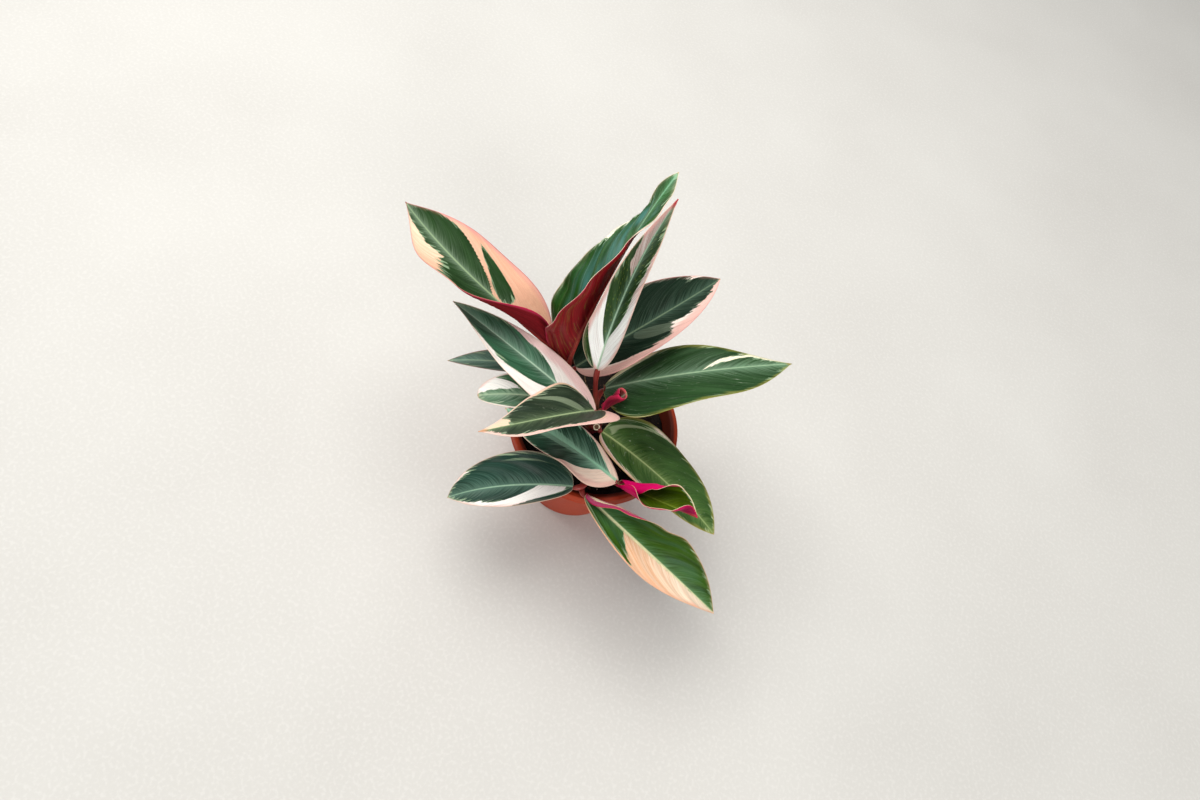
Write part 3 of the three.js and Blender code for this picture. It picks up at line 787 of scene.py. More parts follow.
# How the noise along the veins is stretched, for streaks and for hairlines, and how fine the clouds are.
UPPER_GRAIN = {"streak": (1.1, 0.07, 1), "hair": (4.5, 0.15, 1), "cloud": 3}
UNDER_GRAIN = {"streak": (0.9, 0.07, 1), "hair": (4.0, 0.2, 1), "cloud": 2}
GRAIN_DEPTH = 0.07


class LeafPaint(Paint):
    """Paint for one face of a blade, with the blade's own measures and its vein-aligned noise.

    rim and rib are the distances to the margin and to the midrib, and run is how far along the midrib a
    place's vein leaves it. streak and hair are noise in long and in fine lines, and cloud in soft patches.
    """

    def __init__(self, name, leaf, grain):
        super().__init__(name, specular=leaf.gloss)
        self.veins = self.vector("veins")
        self.rim = self.number("rim")
        self.rib = self.number("rib")
        self.run = self.part(self.veins, 0)
        self.streak = self.noise(self.stretch(self.veins, grain["streak"]), detail=3, roughness=0.6)
        self.hair = self.noise(self.stretch(self.veins, grain["hair"]), detail=2)
        self.cloud = self.noise(self.veins, scale=0.08, detail=grain["cloud"])


def ragged_green(paint, leaf):
    """How deep a place lies in the green, with teeth along the veins where the green ends."""
    teeth = paint.add(
        paint.strips(paint.run, 1.1, 0.45 * leaf.comb),
        paint.strips(paint.run, 3.7, 0.8 * leaf.comb),
    )
    teeth = paint.add(teeth, paint.sway(paint.streak, 0.5 * leaf.comb))
    return paint.add(paint.number("green"), paint.times(teeth, paint.step(paint.rim, 0.4, 2.5)))


def light_tissue(paint, leaf, broad):
    """The light colour, which turns pale where leaf.turn says and pink towards the margin."""
    first, last = leaf.turn
    turned = paint.step(paint.run, first * leaf.length, last * leaf.length)
    pale = paint.scaled(turned, 0.7, paint.sway(paint.streak, 0.5), clamp=True)
    left, right = leaf.blush
    side = paint.step(paint.part(paint.veins, 1), -0.5, 0.5)
    reach = paint.scaled(side, right - left, left)
    reach = paint.add(reach, paint.add(paint.sway(paint.cloud, 1.0), paint.sway(broad, 1.2)))
    blush = paint.step(paint.less(reach, paint.rim), -1.5, 2.0)
    return paint.over(paint.blend(pale, leaf.light, leaf.pale), leaf.pink, blush, 0.85)


def painted_sheen(paint, leaf, colour, tissue):
    """Painted sheen: bluish highlight bands painted into the colour on the crest of each half."""
    sheen_colour, strength = leaf.sheen
    crest = paint.times(paint.step(paint.rim, 2.5, 8), paint.step(paint.rib, 1.5, 7))
    bands = paint.noise(paint.stretch(paint.veins, (0.06, 0.05, 1)), detail=2)
    return paint.over(colour, sheen_colour, crest, paint.step(bands, 0.38, 0.64), tissue, strength)


def rays_and_midrib(paint, leaf, colour, tissue, band):
    """Pale rays that leave the midrib along the veins, and the midrib's own line."""
    onward = paint.step(paint.run, 0, leaf.length)
    rays = paint.scaled(paint.step(paint.streak, 0.3, 0.75), 1.5 * leaf.feather, 0.3 * leaf.feather)
    fade = paint.math("POWER", math.e, paint.times(paint.math("DIVIDE", paint.rib, rays), -1))
    colour = paint.over(colour, leaf.ray, fade, tissue, leaf.glow)
    narrow = paint.scaled(onward, -0.55 * leaf.rib, 1.1 * leaf.rib)
    line = paint.step(paint.math("DIVIDE", paint.rib, narrow), 1.5, 0.6)
    return paint.over(colour, leaf.line, line, paint.scaled(band, -0.5, 0.8), paint.scaled(onward, -0.4, 1))


def lines_and_wear(paint, leaf, colour, full):
    """Fine lines along the veins, and on some leaves pale flecks and dull scratches."""
    colour = paint.over(colour, "#a5b795", paint.step(paint.hair, 0.5, 0.7), 0.07)
    colour = paint.over(colour, "#0f2408", paint.step(paint.hair, 0.5, 0.32), 0.3)
    if leaf.flecks:
        dots = paint.step(paint.spots(paint.stretch(paint.veins, (0.7, 0.5, 1))), 0.24, 0.12)
        colour = paint.over(colour, "#8d9c45", dots, full, leaf.flecks)
    if leaf.scuffs:
        swirl = paint.noise(paint.veins, scale=0.16, detail=1)
        scratch = paint.step(paint.math("ABSOLUTE", paint.add(swirl, -0.5)), 0.008, 0.002)
        worn = paint.step(paint.noise(paint.veins, scale=0.3, detail=2), 0.5, 0.7)
        colour = paint.over(colour, "#b9c4ac", scratch, worn, leaf.scuffs)
    return colour


def margin_and_tip(paint, leaf, colour):
    """A soft glow towards the margin, its thin coloured edge, and the tip."""
    glow = paint.step(paint.less(paint.rim, paint.sway(paint.cloud, 1.2)), 2.6, 0.2)
    colour = paint.over(colour, leaf.edge, glow, leaf.edge_glow)
    margin = paint.step(paint.rim, leaf.edge_width + 0.1, leaf.edge_width - 0.1)
    colour = paint.over(colour, leaf.edge, margin, 0.7)
    tip_colour, tip_length = leaf.tip
    tip = paint.step(paint.run, leaf.length - 1.6 * tip_length, leaf.length - 0.6 * tip_length)
    return paint.over(colour, tip_colour, tip, 0.85)


def upper_face(name, leaf):
    """Green tissue cut up along the side veins, on cream that turns pink towards the margin."""
    paint = LeafPaint(f"{name} upper face", leaf, UPPER_GRAIN)
    broad = paint.noise(paint.stretch(paint.veins, (0.3, 0.03, 1)), detail=2)
    depth = ragged_green(paint, leaf)
    tissue = paint.step(depth, -0.1, 0.15)
    halo = paint.times(paint.step(broad, 0.52, 0.62), 2.2)
    full = paint.step(paint.less(depth, halo), 0, 0.5)
    shade = paint.add(paint.sway(paint.cloud, 0.55), 0.5)
    shade = paint.add(shade, paint.sway(paint.streak, 0.16), clamp=True)

    light = light_tissue(paint, leaf, broad)
    sage = paint.blend(paint.streak, *leaf.sage)
    green = paint.blend(shade, leaf.deep, leaf.fresh)
    colour = paint.mix(full, paint.mix(tissue, light, sage), green)
    band = paint.step(paint.add(paint.number("sage"), paint.sway(paint.streak, 0.35)), -0.2, 0.6)
    colour = paint.mix(paint.times(band, paint.times(tissue, 0.75)), colour, sage)
    # Painted sheen: bluish highlight bands laid into the colour where the blade's crests would catch the
    # light.
    if leaf.sheen[1]:
        colour = painted_sheen(paint, leaf, colour, tissue)
    colour = rays_and_midrib(paint, leaf, colour, tissue, band)
    colour = lines_and_wear(paint, leaf, colour, full)
    colour = margin_and_tip(paint, leaf, colour)
    paint.bump(paint.add(paint.times(paint.hair, 0.4), paint.streak), depth=GRAIN_DEPTH, strength=0.6)
    return paint.finish(colour, paint.scaled(paint.cloud, 0.16, 0.25))


def turned_up_base(paint, leaf, colour):
    """Rose along the margin, and a ragged cream patch near the base."""
    rose, cream = leaf.flap
    colour = paint.over(colour, rose, paint.step(paint.rim, 12, 4), 0.8)
    inward = paint.math("ABSOLUTE", paint.add(paint.rim, -4.5))
    patch = paint.add(paint.sway(paint.streak, 1.4), paint.scaled(inward, -0.5, 0.5))
    return paint.over(colour, cream, paint.step(patch, 0.2, 0.6), paint.step(paint.run, 16, 4))


def under_face(name, leaf):
    """Maroon, brighter under the pale sectors and along the margin."""
    paint = LeafPaint(f"{name} underside", leaf, UNDER_GRAIN)
    colour = paint.blend(paint.step(paint.streak, 0.25, 0.75), *leaf.under)
    pale = paint.step(paint.add(paint.number("green"), paint.sway(paint.streak, 0.8)), 0.4, -0.6)
    colour = paint.over(colour, leaf.under_pale, pale, 0.75)
    tip_colour, strength = leaf.under_tip
    if strength:
        onward = paint.step(paint.run, 0.4 * leaf.length, 0.75 * leaf.length)
        colour = paint.over(colour, tip_colour, onward, strength)
    if leaf.flap:
        colour = turned_up_base(paint, leaf, colour)
    if leaf.under_flecks:
        grains = paint.noise(paint.stretch(paint.veins, (0.9, 0.16, 1)), detail=1)
        colour = paint.over(colour, "#7d7a35", paint.step(grains, 0.6, 0.68), leaf.under_flecks)
    colour = paint.over(colour, "#a5443a", paint.step(paint.rib, 1.8, 0.9), 0.6)
    colour = paint.over(colour, "#c01a4a", paint.step(paint.rim, 1.3, 0.3), 0.7)
    colour = paint.over(colour, "#2a0408", paint.step(paint.hair, 0.4, 0.65), 0.2)
    paint.bump(paint.add(paint.times(paint.hair, 0.5), paint.streak), depth=GRAIN_DEPTH, strength=0.6)
    return paint.finish(colour, paint.scaled(paint.cloud, 0.15, 0.34))


def add_blade(name, leaf):
    skins = (upper_face(name, leaf), under_face(name, leaf))
    slot = "new_leaf" if name == "rolled" else "leaf"
    blade = add_piece(f"blade_{name}", blade_sheet(name, leaf), skins, slot, f"leaf_{name}")
    blade.vertex_groups.new(name="thickness")
    sheet = blade.modifiers.new("leaf thickness", "SOLIDIFY")
    sheet.thickness = (BLADE_THICKNESS + RIB_HEIGHT) * MM
    sheet.offset = -1
    sheet.vertex_group = "thickness"
    sheet.material_offset = 1
    sheet.material_offset_rim = 0


# ------------------------------------------------------------------ canes, petioles and sheaths

SHOOTS = {
    "left": {"foot": (-17, 15), "lean": (-4, -1), "top": 98, "radius": 4.0},
    "centre": {"foot": (-1, 0), "lean": (-1, -4), "top": 103, "radius": 4.6},
    "front": {"foot": (15, -24), "lean": (2, -4), "top": 92, "radius": 4.0},
}
SOIL_CROWN = 80.5
CANE_FOOT = 62.8
CANE_NODES = 3
CANE_TAPER = 0.3
CANE_TIP = 0.05  # share of the cane that is its rounded top
NODE_SWELL = 0.1
PETIOLE_RADIUS = 1.6
PETIOLE_START = 6  # it grows out of the cane this far below the height where it shows
PETIOLE_LEAN = 0.2  # how far it leans out first, as a share of the way out to the knee,
PETIOLE_CLIMB = 0.35  # how far it climbs first, and how straight it comes in,
PETIOLE_ARRIVAL = 0.3  # as shares of its whole reach
SHEATH_RADIUS = 2.6
SHEATH_SHARE = 0.55  # of the petiole's length
SLIT_WIDTH = 0.35  # radians, as are the next two
LIP_PLACE = 0.6
LIP_WIDTH = 0.3
LIP_HEIGHT = 0.12  # of the radius, as are the next two
SLIT_DEPTH = 0.3
STALK_GROOVE = 0.08
KNEE_RADIUS = 2.0
KNEE_LENGTH = 11
PETIOLE_END_RADIUS = 1.2
PETIOLE_END_RUN = 2.5
RIB_RUN = 9
RIB_RUN_RADIUS = 0.45
TUBE_SIDES = 20
RING_LENGTH = 1.0
SCALE_ROWS = 16
SCALE_COLUMNS = 12
SCALE_THICKNESS = 0.35

# Petioles that were cut off beside the middle cane.
STUBS = {
    "centre": (
        {"foot": (-3, -4, 86), "end": (2.1, -13.6, 107), "radius": 2.2},
        {"foot": (1, -4, 86), "end": (5, -13.2, 105.2), "radius": 1.2},
    ),
}

# Bracts at the foot of each cane: heading, foot, height, spread to each side in degrees, and how far
# the tip stands off.
SCALES = {
    "left": ((200, 76, 17, 80, 1.5), (20, 77, 12, 75, 2.5), (110, 80, 15, 60, 1.0)),
    "centre": (
        (250, 76, 16, 80, 2.0), (60, 78, 20, 75, 1.0), (330, 80, 19, 62, 1.6), (150, 79, 14, 70, 2.2),
    ),
    "front": ((230, 76, 13, 80, 1.5), (40, 77, 11, 75, 2.0), (130, 78, 12, 60, 1.2)),
}
STEM_SKIN, CUT_RING, CUT_HEART, SCALE_SKIN = range(4)


def cane_point(shoot, z):
    x, y = shoot["foot"]
    dx, dy = shoot["lean"]
    rise = max((z - SOIL_CROWN - 1) / (shoot["top"] - SOIL_CROWN - 1), 0)
    return Vector((x + dx * rise, y + dy * rise, z))


def bezier(start, first, second, end, steps):
    points = []
    for i in range(steps + 1):
        u = i / steps
        v = 1 - u
        points.append(start * v**3 + first * 3 * u * v * v + second * 3 * u * u * v + end * u**3)
    return points


def soften(points, first, rounds=4):
    """Rounds the corners of a path from its first-th point on."""
    for _ in range(rounds):
        middle = [(a + 2 * b + c) / 4 for a, b, c in zip(points, points[1:], points[2:])]
        points = points[:first] + middle[first - 1:] + points[-1:]
    return points


def petiole_path(leaf):
    """From inside the cane to the underside of the midrib, and how many of its points lead to the knee."""
    lean = math.radians((leaf.fold[1][0] - leaf.fold[0][0]) / 2)
    rib = []
    for t, point, _, right, up in midrib(leaf, round(leaf.length / STATION_LENGTH)):
        if t * leaf.length <= RIB_RUN:
            out = up * math.cos(lean) - right * math.sin(lean)
            rib.append(point - out * (PETIOLE_END_RADIUS + GROOVE_DEPTH))
    arrival = direction(*(leaf.arrive or (leaf.heading, leaf.rise)))
    start = cane_point(SHOOTS[leaf.shoot], leaf.start - PETIOLE_START)
    end = rib[0]
    reach = (end - start).length
    outward = Vector((end.x - start.x, end.y - start.y, 0))
    first = start + outward * PETIOLE_LEAN + Vector((*leaf.sway, reach * PETIOLE_CLIMB))
    second = end - arrival * reach * PETIOLE_ARRIVAL
    steps = max(round(reach / RING_LENGTH), 8)
    path = bezier(start, first, second, end, steps)
    return soften(path + rib[1:], steps - 4), steps


def tube(bm, path, radius_at, shape_at=None, face_in=None, sides=TUBE_SIDES):
    """A closed tube along a path. shape_at(turn, share) scales the radius round it. Returns its caps."""
    rings = len(path) - 1
    run = bm.verts.layers.float_vector["run"]
    share = bm.verts.layers.float["share"]
    frames = []
    side = face_in or Vector((0, 0, 1))
    length = 0
    for i, point in enumerate(path):
        tangent = (path[min(i + 1, rings)] - path[max(i - 1, 0)]).normalized()
        side = (side - tangent * side.dot(tangent)).normalized()
        length += (point - path[i - 1]).length if i else 0
        frames.append((point, side, tangent.cross(side), length))
    grid = bmesh.ops.create_grid(bm, x_segments=rings, y_segments=sides, size=1)["verts"]
    for vert in grid:
        ring = round((vert.co.x + 1) / 2 * rings)
        turn = (vert.co.y + 1) * math.pi
        point, normal, other, reached = frames[ring]
        radius = radius_at(ring / rings, reached)
        if shape_at:
            radius *= shape_at(turn, ring / rings)
        spoke = normal * math.cos(turn) + other * math.sin(turn)
        vert.co = (point + spoke * radius) * MM
        vert[run] = (radius * math.cos(turn), radius * math.sin(turn), reached)
        vert[share] = ring / rings
    faces = faces_at(grid)
    bmesh.ops.remove_doubles(bm, verts=grid, dist=WELD * MM)
    faces = [face for face in faces if face.is_valid]
    open_edges = [edge for face in faces for edge in face.edges if edge.is_boundary]
    caps = bmesh.ops.holes_fill(bm, edges=list(set(open_edges)), sides=0)["faces"]
    bmesh.ops.recalc_face_normals(bm, faces=faces + caps)
    return caps


def add_cane(bm, shoot):
    """The upright cane, with a swollen ring at each node and a rounded top."""
    rings = round((shoot["top"] - CANE_FOOT) / RING_LENGTH)
    path = [cane_point(shoot, CANE_FOOT + i * RING_LENGTH) for i in range(rings + 1)]
    above = shoot["top"] - SOIL_CROWN

    def radius_at(share, reached):
        z = (CANE_FOOT + reached - SOIL_CROWN) / above
        taper = 1 - CANE_TAPER * ease((share - 0.6) / 0.4)
        ring = NODE_SWELL * max(math.cos(FULL_TURN * z * CANE_NODES), 0) ** 12
        top = max((share - 1 + CANE_TIP) / CANE_TIP, 0)
        return shoot["radius"] * (taper + ring) * math.sqrt(max(1 - top**2, 0.05))

    tube(bm, path, radius_at)


def add_petiole(bm, leaf):
    """Sheath at the cane, slim petiole, swollen knee, and a run-out under the midrib."""
    path, steps = petiole_path(leaf)
    knee_end = sum((b - a).length for a, b in zip(path[:steps], path[1:steps + 1]))

    def radius_at(share, reached):
        left = knee_end - reached
        if left < 0:
            run = min(-left / RIB_RUN, 1)
            return PETIOLE_END_RADIUS * (1 - run) + RIB_RUN_RADIUS * run
        sheath = (SHEATH_RADIUS - PETIOLE_RADIUS) * max(1 - 1.6 * reached / knee_end, 0)
        swell = 0
        if left < KNEE_LENGTH:
            swell = (KNEE_RADIUS - PETIOLE_RADIUS) * math.sin(math.pi * left / KNEE_LENGTH)
        narrow = (PETIOLE_RADIUS - PETIOLE_END_RADIUS) * max(1 - left / PETIOLE_END_RUN, 0)
        return PETIOLE_RADIUS + sheath + swell - narrow

    def shape_at(turn, share):
        """The sheath's open slit faces the cane, and the petiole above it keeps a shallow groove."""
        slit = math.exp(-((turn - math.pi) / SLIT_WIDTH) ** 2)
        lips = math.exp(-((abs(turn - math.pi) - LIP_PLACE) / LIP_WIDTH) ** 2)
        sheathed = ease(1 - share / SHEATH_SHARE)
        return 1 - slit * (STALK_GROOVE + SLIT_DEPTH * sheathed) + lips * LIP_HEIGHT * sheathed

    outward = path[-1] - path[0]
    tube(bm, path, radius_at, shape_at, Vector((outward.x, outward.y, -outward.length * 0.3)))


def add_stub(bm, stub):
    """A petiole that was cut off: a pale ring round a darker heart."""
    foot = Vector(stub["foot"])
    end = Vector(stub["end"])
    steps = round((end - foot).length / RING_LENGTH)
    path = [foot.lerp(end, i / steps) for i in range(steps + 1)]
    caps = tube(bm, path, lambda share, reached: stub["radius"] * (1 + 0.06 * ease((share - 0.8) / 0.2)))
    top = max(caps, key=lambda face: face.calc_center_median().z)
    top.material_index = CUT_RING
    bmesh.ops.inset_region(bm, faces=[top], thickness=0.34 * stub["radius"] * MM, depth=-0.15 * MM)
    top.material_index = CUT_HEART


def add_scale(bm, shoot, heading, foot, height, spread, flare):
    """A pointed bract that hugs the cane and opens a little at its tip."""
    run = bm.verts.layers.float_vector["run"]
    share = bm.verts.layers.float["share"]
    grid = bmesh.ops.create_grid(bm, x_segments=SCALE_ROWS, y_segments=SCALE_COLUMNS, size=1)["verts"]
    for vert in grid:
        u = (vert.co.x + 1) / 2
        v = vert.co.y
        half = spread * max(1 - u**2.2, 0.02)
        centre = cane_point(shoot, foot + height * u)
        radius = shoot["radius"] * (1.06 + 0.05 * abs(v)) + 0.4 + flare * u**3
        vert.co = (centre + direction(heading + half * v, 0) * radius) * MM
        vert[run] = (radius * math.radians(half * v), radius, height * u)
        vert[share] = u
    faces = list(faces_at(grid))
    for face in faces:
        face.material_index = SCALE_SKIN
    bmesh.ops.recalc_face_normals(bm, faces=faces)
    bmesh.ops.solidify(bm, geom=faces, thickness=SCALE_THICKNESS * MM)


def stem_skin():
    """Red-brown petioles, greener sheaths, fine lengthwise lines and a brighter red knee."""
    paint = Paint("stem skin", roughness=0.36)
    run = paint.vector("run")
    lines = paint.noise(paint.stretch(run, (2.2, 2.2, 0.16)), detail=3)
    cloud = paint.noise(run, scale=0.2, detail=2)
    red = paint.blend(lines, "#6d1f22", "#a54236")
    sheath = paint.blend(lines, "#5a2a20", "#7c5a3a")
    climbed = paint.add(paint.number("share"), paint.sway(cloud, 0.12))
    colour = paint.mix(paint.step(climbed, 0.1, 0.5), sheath, red)
    colour = paint.over(colour, "#b24a40", paint.step(climbed, 0.72, 0.85), 0.6)
    paint.bump(lines, depth=0.1, strength=0.6)
    return paint.finish(colour)


def scale_skin():
    """Thin bracts: wine red when fresh, dry brown at the tip."""
    paint = Paint("sheath scale", roughness=0.55)
    lines = paint.noise(paint.stretch(paint.vector("run"), (3.0, 1, 0.12)), detail=3)
    fresh = paint.blend(lines, "#5b1420", "#93303a")
    dry = paint.blend(lines, "#6b4a2c", "#a8865a")
    wither = paint.step(paint.add(paint.number("share"), paint.sway(lines, 0.25)), 0.55, 0.95)
    paint.bump(lines, depth=0.15, strength=0.8)
    return paint.finish(paint.mix(wither, fresh, dry))


def tube_bmesh():
    """An empty bmesh with the measures that tubes and bracts write."""
    bm = bmesh.new()
    bm.verts.layers.float_vector.new("run")
    bm.verts.layers.float.new("share")
    return bm


def add_shoot(name, shoot, skins):
    bm = tube_bmesh()
    add_cane(bm, shoot)
    for leaf in LEAVES.values():
        if leaf.shoot == name:
            add_petiole(bm, leaf)
    for stub in STUBS.get(name, ()):
        add_stub(bm, stub)
    for scale in SCALES[name]:
        add_scale(bm, shoot, *scale)
    add_piece(f"stems_{name}", bm, skins, "stem", f"shoot_{name}")


# ------------------------------------------------------------------ soil

SOIL_EDGE = 78.5
SOIL_RADIUS = 51.6
SOIL_BOTTOM = 4.2
SOIL_BOTTOM_RADIUS = 37.2
CROWN_POWER = 1.6
LUMP_SIZE = 9
LUMP_HEIGHT = 1.5
CRUMB_SIZE = 2.2
CRUMB_HEIGHT = 0.5
SOIL_RINGS = 46
SOIL_STEPS = 168
SOIL_SEED = 7
BARK_CHIPS = 520
PERLITE_BITS = 34
ROOT_FIBRES = 34
FIBRE_STEPS = 8
FIBRE_STEP_LENGTH = 1.2
FIBRE_SIDES = 5
PEAT, BARK, PERLITE, FIBRE = range(4)


def soil_height(x, y):
    """The crown falls off to the wall, with lumps and crumbs on it."""
    away = math.hypot(x, y) / SOIL_RADIUS
    lumps = noise.fractal(Vector((x, y, 3)) / LUMP_SIZE, 1.0, 2.0, 3) * LUMP_HEIGHT
    crumbs = noise.fractal(Vector((x, y, 9)) / CRUMB_SIZE, 1.0, 2.0, 2) * CRUMB_HEIGHT
    return SOIL_CROWN - (SOIL_CROWN - SOIL_EDGE) * away**CROWN_POWER + lumps + crumbs


def soil_body(bm):
    profile = [(SOIL_RADIUS * i / SOIL_RINGS, SOIL_EDGE) for i in range(SOIL_RINGS + 1)]
    profile += [(SOIL_RADIUS - 0.6, SOIL_EDGE - 4), (SOIL_BOTTOM_RADIUS, SOIL_BOTTOM), (0, SOIL_BOTTOM)]
    revolve(bm, profile, SOIL_STEPS)
    for vert in bm.verts:
        x, y, z = vert.co / MM
        if z > SOIL_EDGE - 1:
            vert.co.z = soil_height(x, y) * MM


def scatter(bm, draw, kind, size, flatness, sink):
    """One crumb: a roughened little ball, pressed flat, turned and half sunk in the soil."""
    away = SOIL_RADIUS * 0.97 * math.sqrt(draw.random())
    turn = FULL_TURN * draw.random()
    x, y = away * math.cos(turn), away * math.sin(turn)
    ball = bmesh.ops.create_icosphere(bm, subdivisions=1, radius=1)["verts"]
    spin = Matrix.Rotation(FULL_TURN * draw.random(), 3, Vector((draw.random(), draw.random(), 1)))
    place = Vector((x, y, soil_height(x, y) - sink * size))
    shape = Vector((1, 0.45 + 0.5 * draw.random(), flatness))
    for vert in ball:
        rough = 1 + 0.35 * (draw.random() - 0.5)
        vert.co = (place + spin @ (vert.co * rough * shape * size)) * MM
    for face in faces_at(ball):
        face.material_index = kind


def add_fibre(bm, draw):
    """A fine root or coir strand that lies on the soil."""
    away = SOIL_RADIUS * 0.8 * math.sqrt(draw.random())
    point = direction(360 * draw.random(), 0) * away
    heading = 360 * draw.random()
    bend = 25 * (draw.random() - 0.5)
    radius = 0.14 + 0.12 * draw.random()
    path = []
    for _ in range(FIBRE_STEPS):
        path.append(Vector((point.x, point.y, soil_height(point.x, point.y) + radius)))
        heading += bend
        point = point + direction(heading, 0) * FIBRE_STEP_LENGTH
    before = set(bm.faces)
    tube(bm, path, lambda share, reached: radius * (1 - 0.5 * share), sides=FIBRE_SIDES)
    for face in set(bm.faces) - before:
        face.material_index = FIBRE


def peat_skin():
    paint = Paint("potting mix", roughness=0.95, specular=0.25)
    place = paint.place()
    grain = paint.noise(place, scale=1.1, detail=5, roughness=0.7)
    patch = paint.noise(place, scale=0.12, detail=2)
    paint.bump(grain, depth=0.9)
    dark = paint.blend(patch, "#0f0a07", "#1f1610")
    return paint.finish(paint.over(dark, "#3b2a1d", paint.step(grain, 0.52, 0.78)))


def bark_skin():
    paint = Paint("bark chips", roughness=0.85, specular=0.3)
    place = paint.place()
    grain = paint.noise(place, scale=2.0, detail=4)
    patch = paint.noise(place, scale=0.3, detail=1)
    paint.bump(grain, depth=0.4)
    return paint.finish(paint.over(paint.blend(patch, "#1f1610", "#6a4a30"), "#2a1d14", grain, 0.6))


def add_soil():
    draw = random.Random(SOIL_SEED)
    bm = tube_bmesh()
    soil_body(bm)
    for _ in range(BARK_CHIPS):
        scatter(bm, draw, BARK, 0.5 + 1.7 * draw.random() ** 2.5, 0.4, 0.2)
    for _ in range(PERLITE_BITS):
        scatter(bm, draw, PERLITE, 0.4 + 0.6 * draw.random(), 0.85, 0.1)
    for _ in range(ROOT_FIBRES):
        add_fibre(bm, draw)
    skins = (
        peat_skin(),
        bark_skin(),
        speckled("perlite", 0.9, 3.0, "#a89d8c", "#e4ddcf", detail=4, relief=0.4),
        speckled("root fibre", 0.8, 1.0, "#5a4028", "#a1845c"),
    )
    piece = add_piece("potting_mix", bm, skins, "soil", "soil")
    for face in piece.data.polygons:
        face.use_smooth = face.material_index == PEAT


# ------------------------------------------------------------------ pot

POT_STEPS = 160
RIM_RADIUS = 60
POT_HEIGHT = 90
POT_BASE_RADIUS = 39
POT_WALL = 1.6
RIM_DEPTH = 8
RIM_WIDTH = 4.4
FOOT_RING = 6
FOOT_PAD = 12
RECESS = 1.8
DRAIN_HOLES = 6
DRAIN_RADIUS = 4
DRAIN_SIDES = 40
EDGE_ROUNDING = 0.3
SHARP_EDGE = 28  # degrees from which an edge is rounded


def wall_radius(z):
    return POT_BASE_RADIUS + (RIM_RADIUS - RIM_WIDTH - POT_BASE_RADIUS) * z / POT_HEIGHT


def pot_profile():
    """(radius, height) points: under the foot, up the outside, round the rim and down to the floor."""
    top = POT_HEIGHT
    skirt = top - RIM_DEPTH
    foot = POT_BASE_RADIUS - FOOT_RING
    floor = RECESS + POT_WALL
    inside = wall_radius(top) - POT_WALL
    return (
        (0, 0), (FOOT_PAD, 0), (FOOT_PAD + 1.5, RECESS), (foot - 1.5, RECESS), (foot, 0),
        (POT_BASE_RADIUS - 0.8, 0), (POT_BASE_RADIUS + 0.2, 1),
        (wall_radius(top - POT_WALL), top - POT_WALL), (RIM_RADIUS - POT_WALL, top - POT_WALL),
        (RIM_RADIUS - POT_WALL + 0.2, skirt), (RIM_RADIUS, skirt),
        (RIM_RADIUS, skirt + 1.6), (RIM_RADIUS - 0.3, skirt + 2.0),
        (RIM_RADIUS - 0.3, top - 1.2), (RIM_RADIUS - 0.9, top),
        (wall_radius(top) + 0.6, top), (inside + 0.6, top - 0.4), (inside, top - 1.4),
        (wall_radius(floor + 1) - POT_WALL, floor + 1), (wall_radius(floor) - POT_WALL - 1, floor),
        (0, floor),
    )


def cut_drain_holes(pot):
    """Takes the drain holes out of the raised ring in the pot's floor."""
    ring = (FOOT_PAD + POT_BASE_RADIUS - FOOT_RING) / 2
    radius = DRAIN_RADIUS * MM
    bm = bmesh.new()
    for i in range(DRAIN_HOLES):
        turn = FULL_TURN * (i + 0.5) / DRAIN_HOLES
        place = Matrix.Translation(Vector((ring * math.cos(turn), ring * math.sin(turn), RECESS)) * MM)
        bmesh.ops.create_cone(bm, cap_ends=True, segments=DRAIN_SIDES, radius1=radius, radius2=radius,
                              depth=4 * POT_WALL * MM, matrix=place)
    cutter = add_object("drain cutters", mesh_from("drain cutters", bm))
    cut = pot.modifiers.new("drain holes", "BOOLEAN")
    cut.object = cutter
    cut.solver = "EXACT"
    evaluated = pot.evaluated_get(bpy.context.evaluated_depsgraph_get())
    drilled = bpy.data.meshes.new_from_object(evaluated)
    pot.modifiers.clear()
    pot.data = drilled
    bpy.data.objects.remove(cutter)


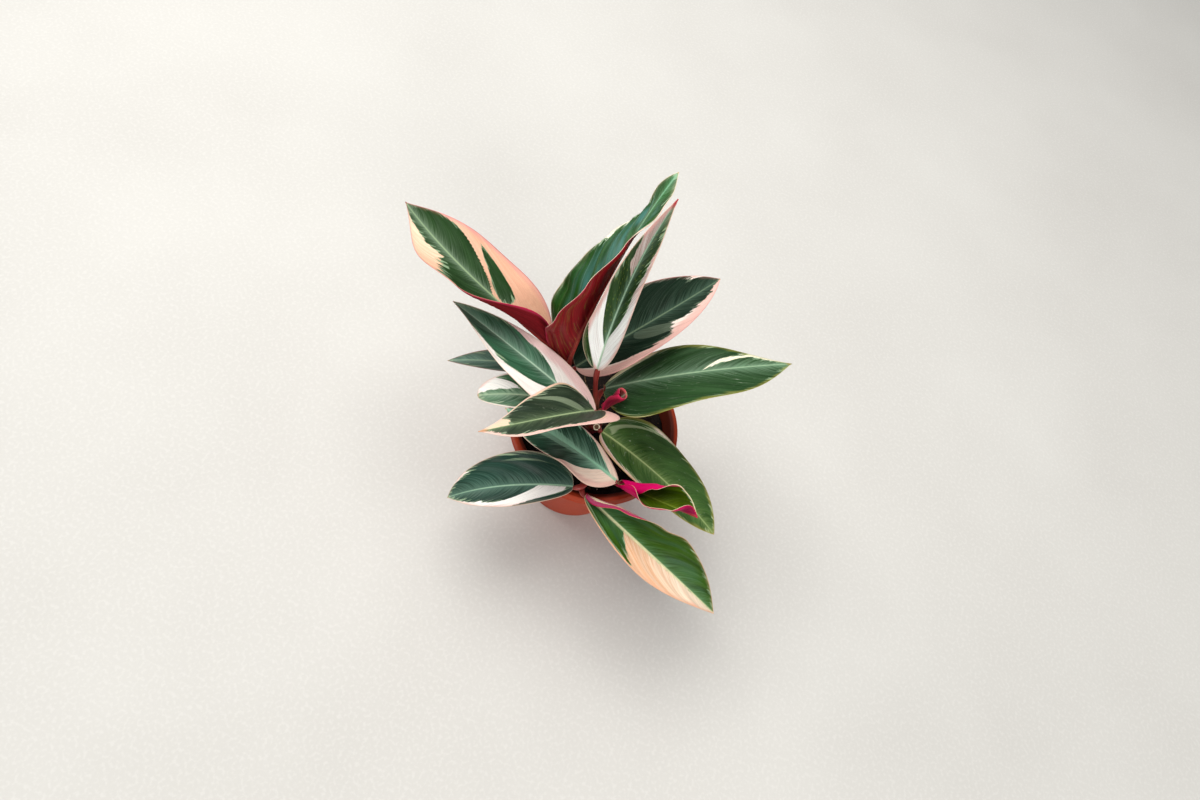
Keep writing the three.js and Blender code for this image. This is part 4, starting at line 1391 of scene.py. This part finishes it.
def pot_skin():
    """Moulded terracotta-coloured plastic: satin and dusted with soil, more so low down, with painted shade
    on the inner lip and wall.
    """
    paint = Paint("terracotta plastic", specular=0.16)
    place = paint.place()
    height = paint.part(place, 2)
    away = paint.length(paint.stretch(place, (1, 1, 0)))
    cloud = paint.noise(place, scale=0.05, detail=3)
    grit = paint.noise(place, scale=1.6, detail=4, roughness=0.65)
    flow = paint.noise(paint.stretch(place, (0.5, 0.5, 0.03)), detail=2)
    colour = paint.over(paint.blend(cloud, "#8f2a12", "#a83a1a"), "#c85c36", flow, 0.2)
    dust = paint.step(paint.add(grit, paint.sway(cloud, 0.12)), 0.6, 0.8)
    low = paint.times(paint.step(height, 22, 2), 0.5)
    colour = paint.over(colour, "#7a5a44", dust, paint.math("MAXIMUM", low, 0.12))
    # Painted shade, with some soil stain: the inner lip and the inner wall above the soil darken almost to
    # black, mottled by the dust noise.
    inside = paint.step(away, RIM_RADIUS - 2.2, RIM_RADIUS - 4.2)
    shade_and_stain = paint.scaled(dust, 0.15, 0.75)
    colour = paint.over(colour, "#180c07", inside, paint.step(height, 72, 76), shade_and_stain)
    paint.bump(paint.add(paint.times(grit, 0.5), flow), depth=0.08, strength=0.5)
    return paint.finish(colour, paint.scaled(dust, 0.25, 0.5))


def add_pot():
    bm = bmesh.new()
    revolve(bm, pot_profile(), POT_STEPS)
    pot = add_piece("nursery_pot", bm, (), "pot", "pot")
    cut_drain_holes(pot)
    pot.data.materials.append(pot_skin())
    rounding = pot.modifiers.new("moulded edges", "BEVEL")
    rounding.width = EDGE_ROUNDING * MM
    rounding.segments = 2
    rounding.limit_method = "ANGLE"
    rounding.angle_limit = math.radians(SHARP_EDGE)
    shade_smooth(pot.data)


# ------------------------------------------------------------------ floor

FLOOR_SIZE = 5000


def add_floor():
    bm = bmesh.new()
    bmesh.ops.create_grid(bm, x_segments=1, y_segments=1, size=FLOOR_SIZE * MM / 2)
    mesh = mesh_from("floor", bm)
    paint = Paint("pale floor", roughness=0.85)
    place = paint.place()
    cloud = paint.noise(place, scale=0.006, detail=3)
    grain = paint.noise(place, scale=0.4, detail=3)
    colour = paint.blend(cloud, "#bdb9b2", "#cbc8c1")
    colour = paint.over(colour, "#dad7d1", paint.step(grain, 0.45, 0.7), 0.25)
    mesh.materials.append(paint.finish(colour))
    floor = add_object("floor", mesh)


# ------------------------------------------------------------------ the whole plant

add_camera()
light_the_room()
add_floor()
for leaf_name, leaf_values in LEAVES.items():
    add_blade(leaf_name, leaf_values)
stem_skins = (
    stem_skin(),
    speckled("cut ring", 0.6, 3, "#cbb893", "#efe3c6"),
    speckled("cut heart", 0.8, 4, "#3a241a", "#7a5a3c"),
    scale_skin(),
)
for shoot_name, shoot_values in SHOOTS.items():
    add_shoot(shoot_name, shoot_values, stem_skins)
add_soil()
add_pot()
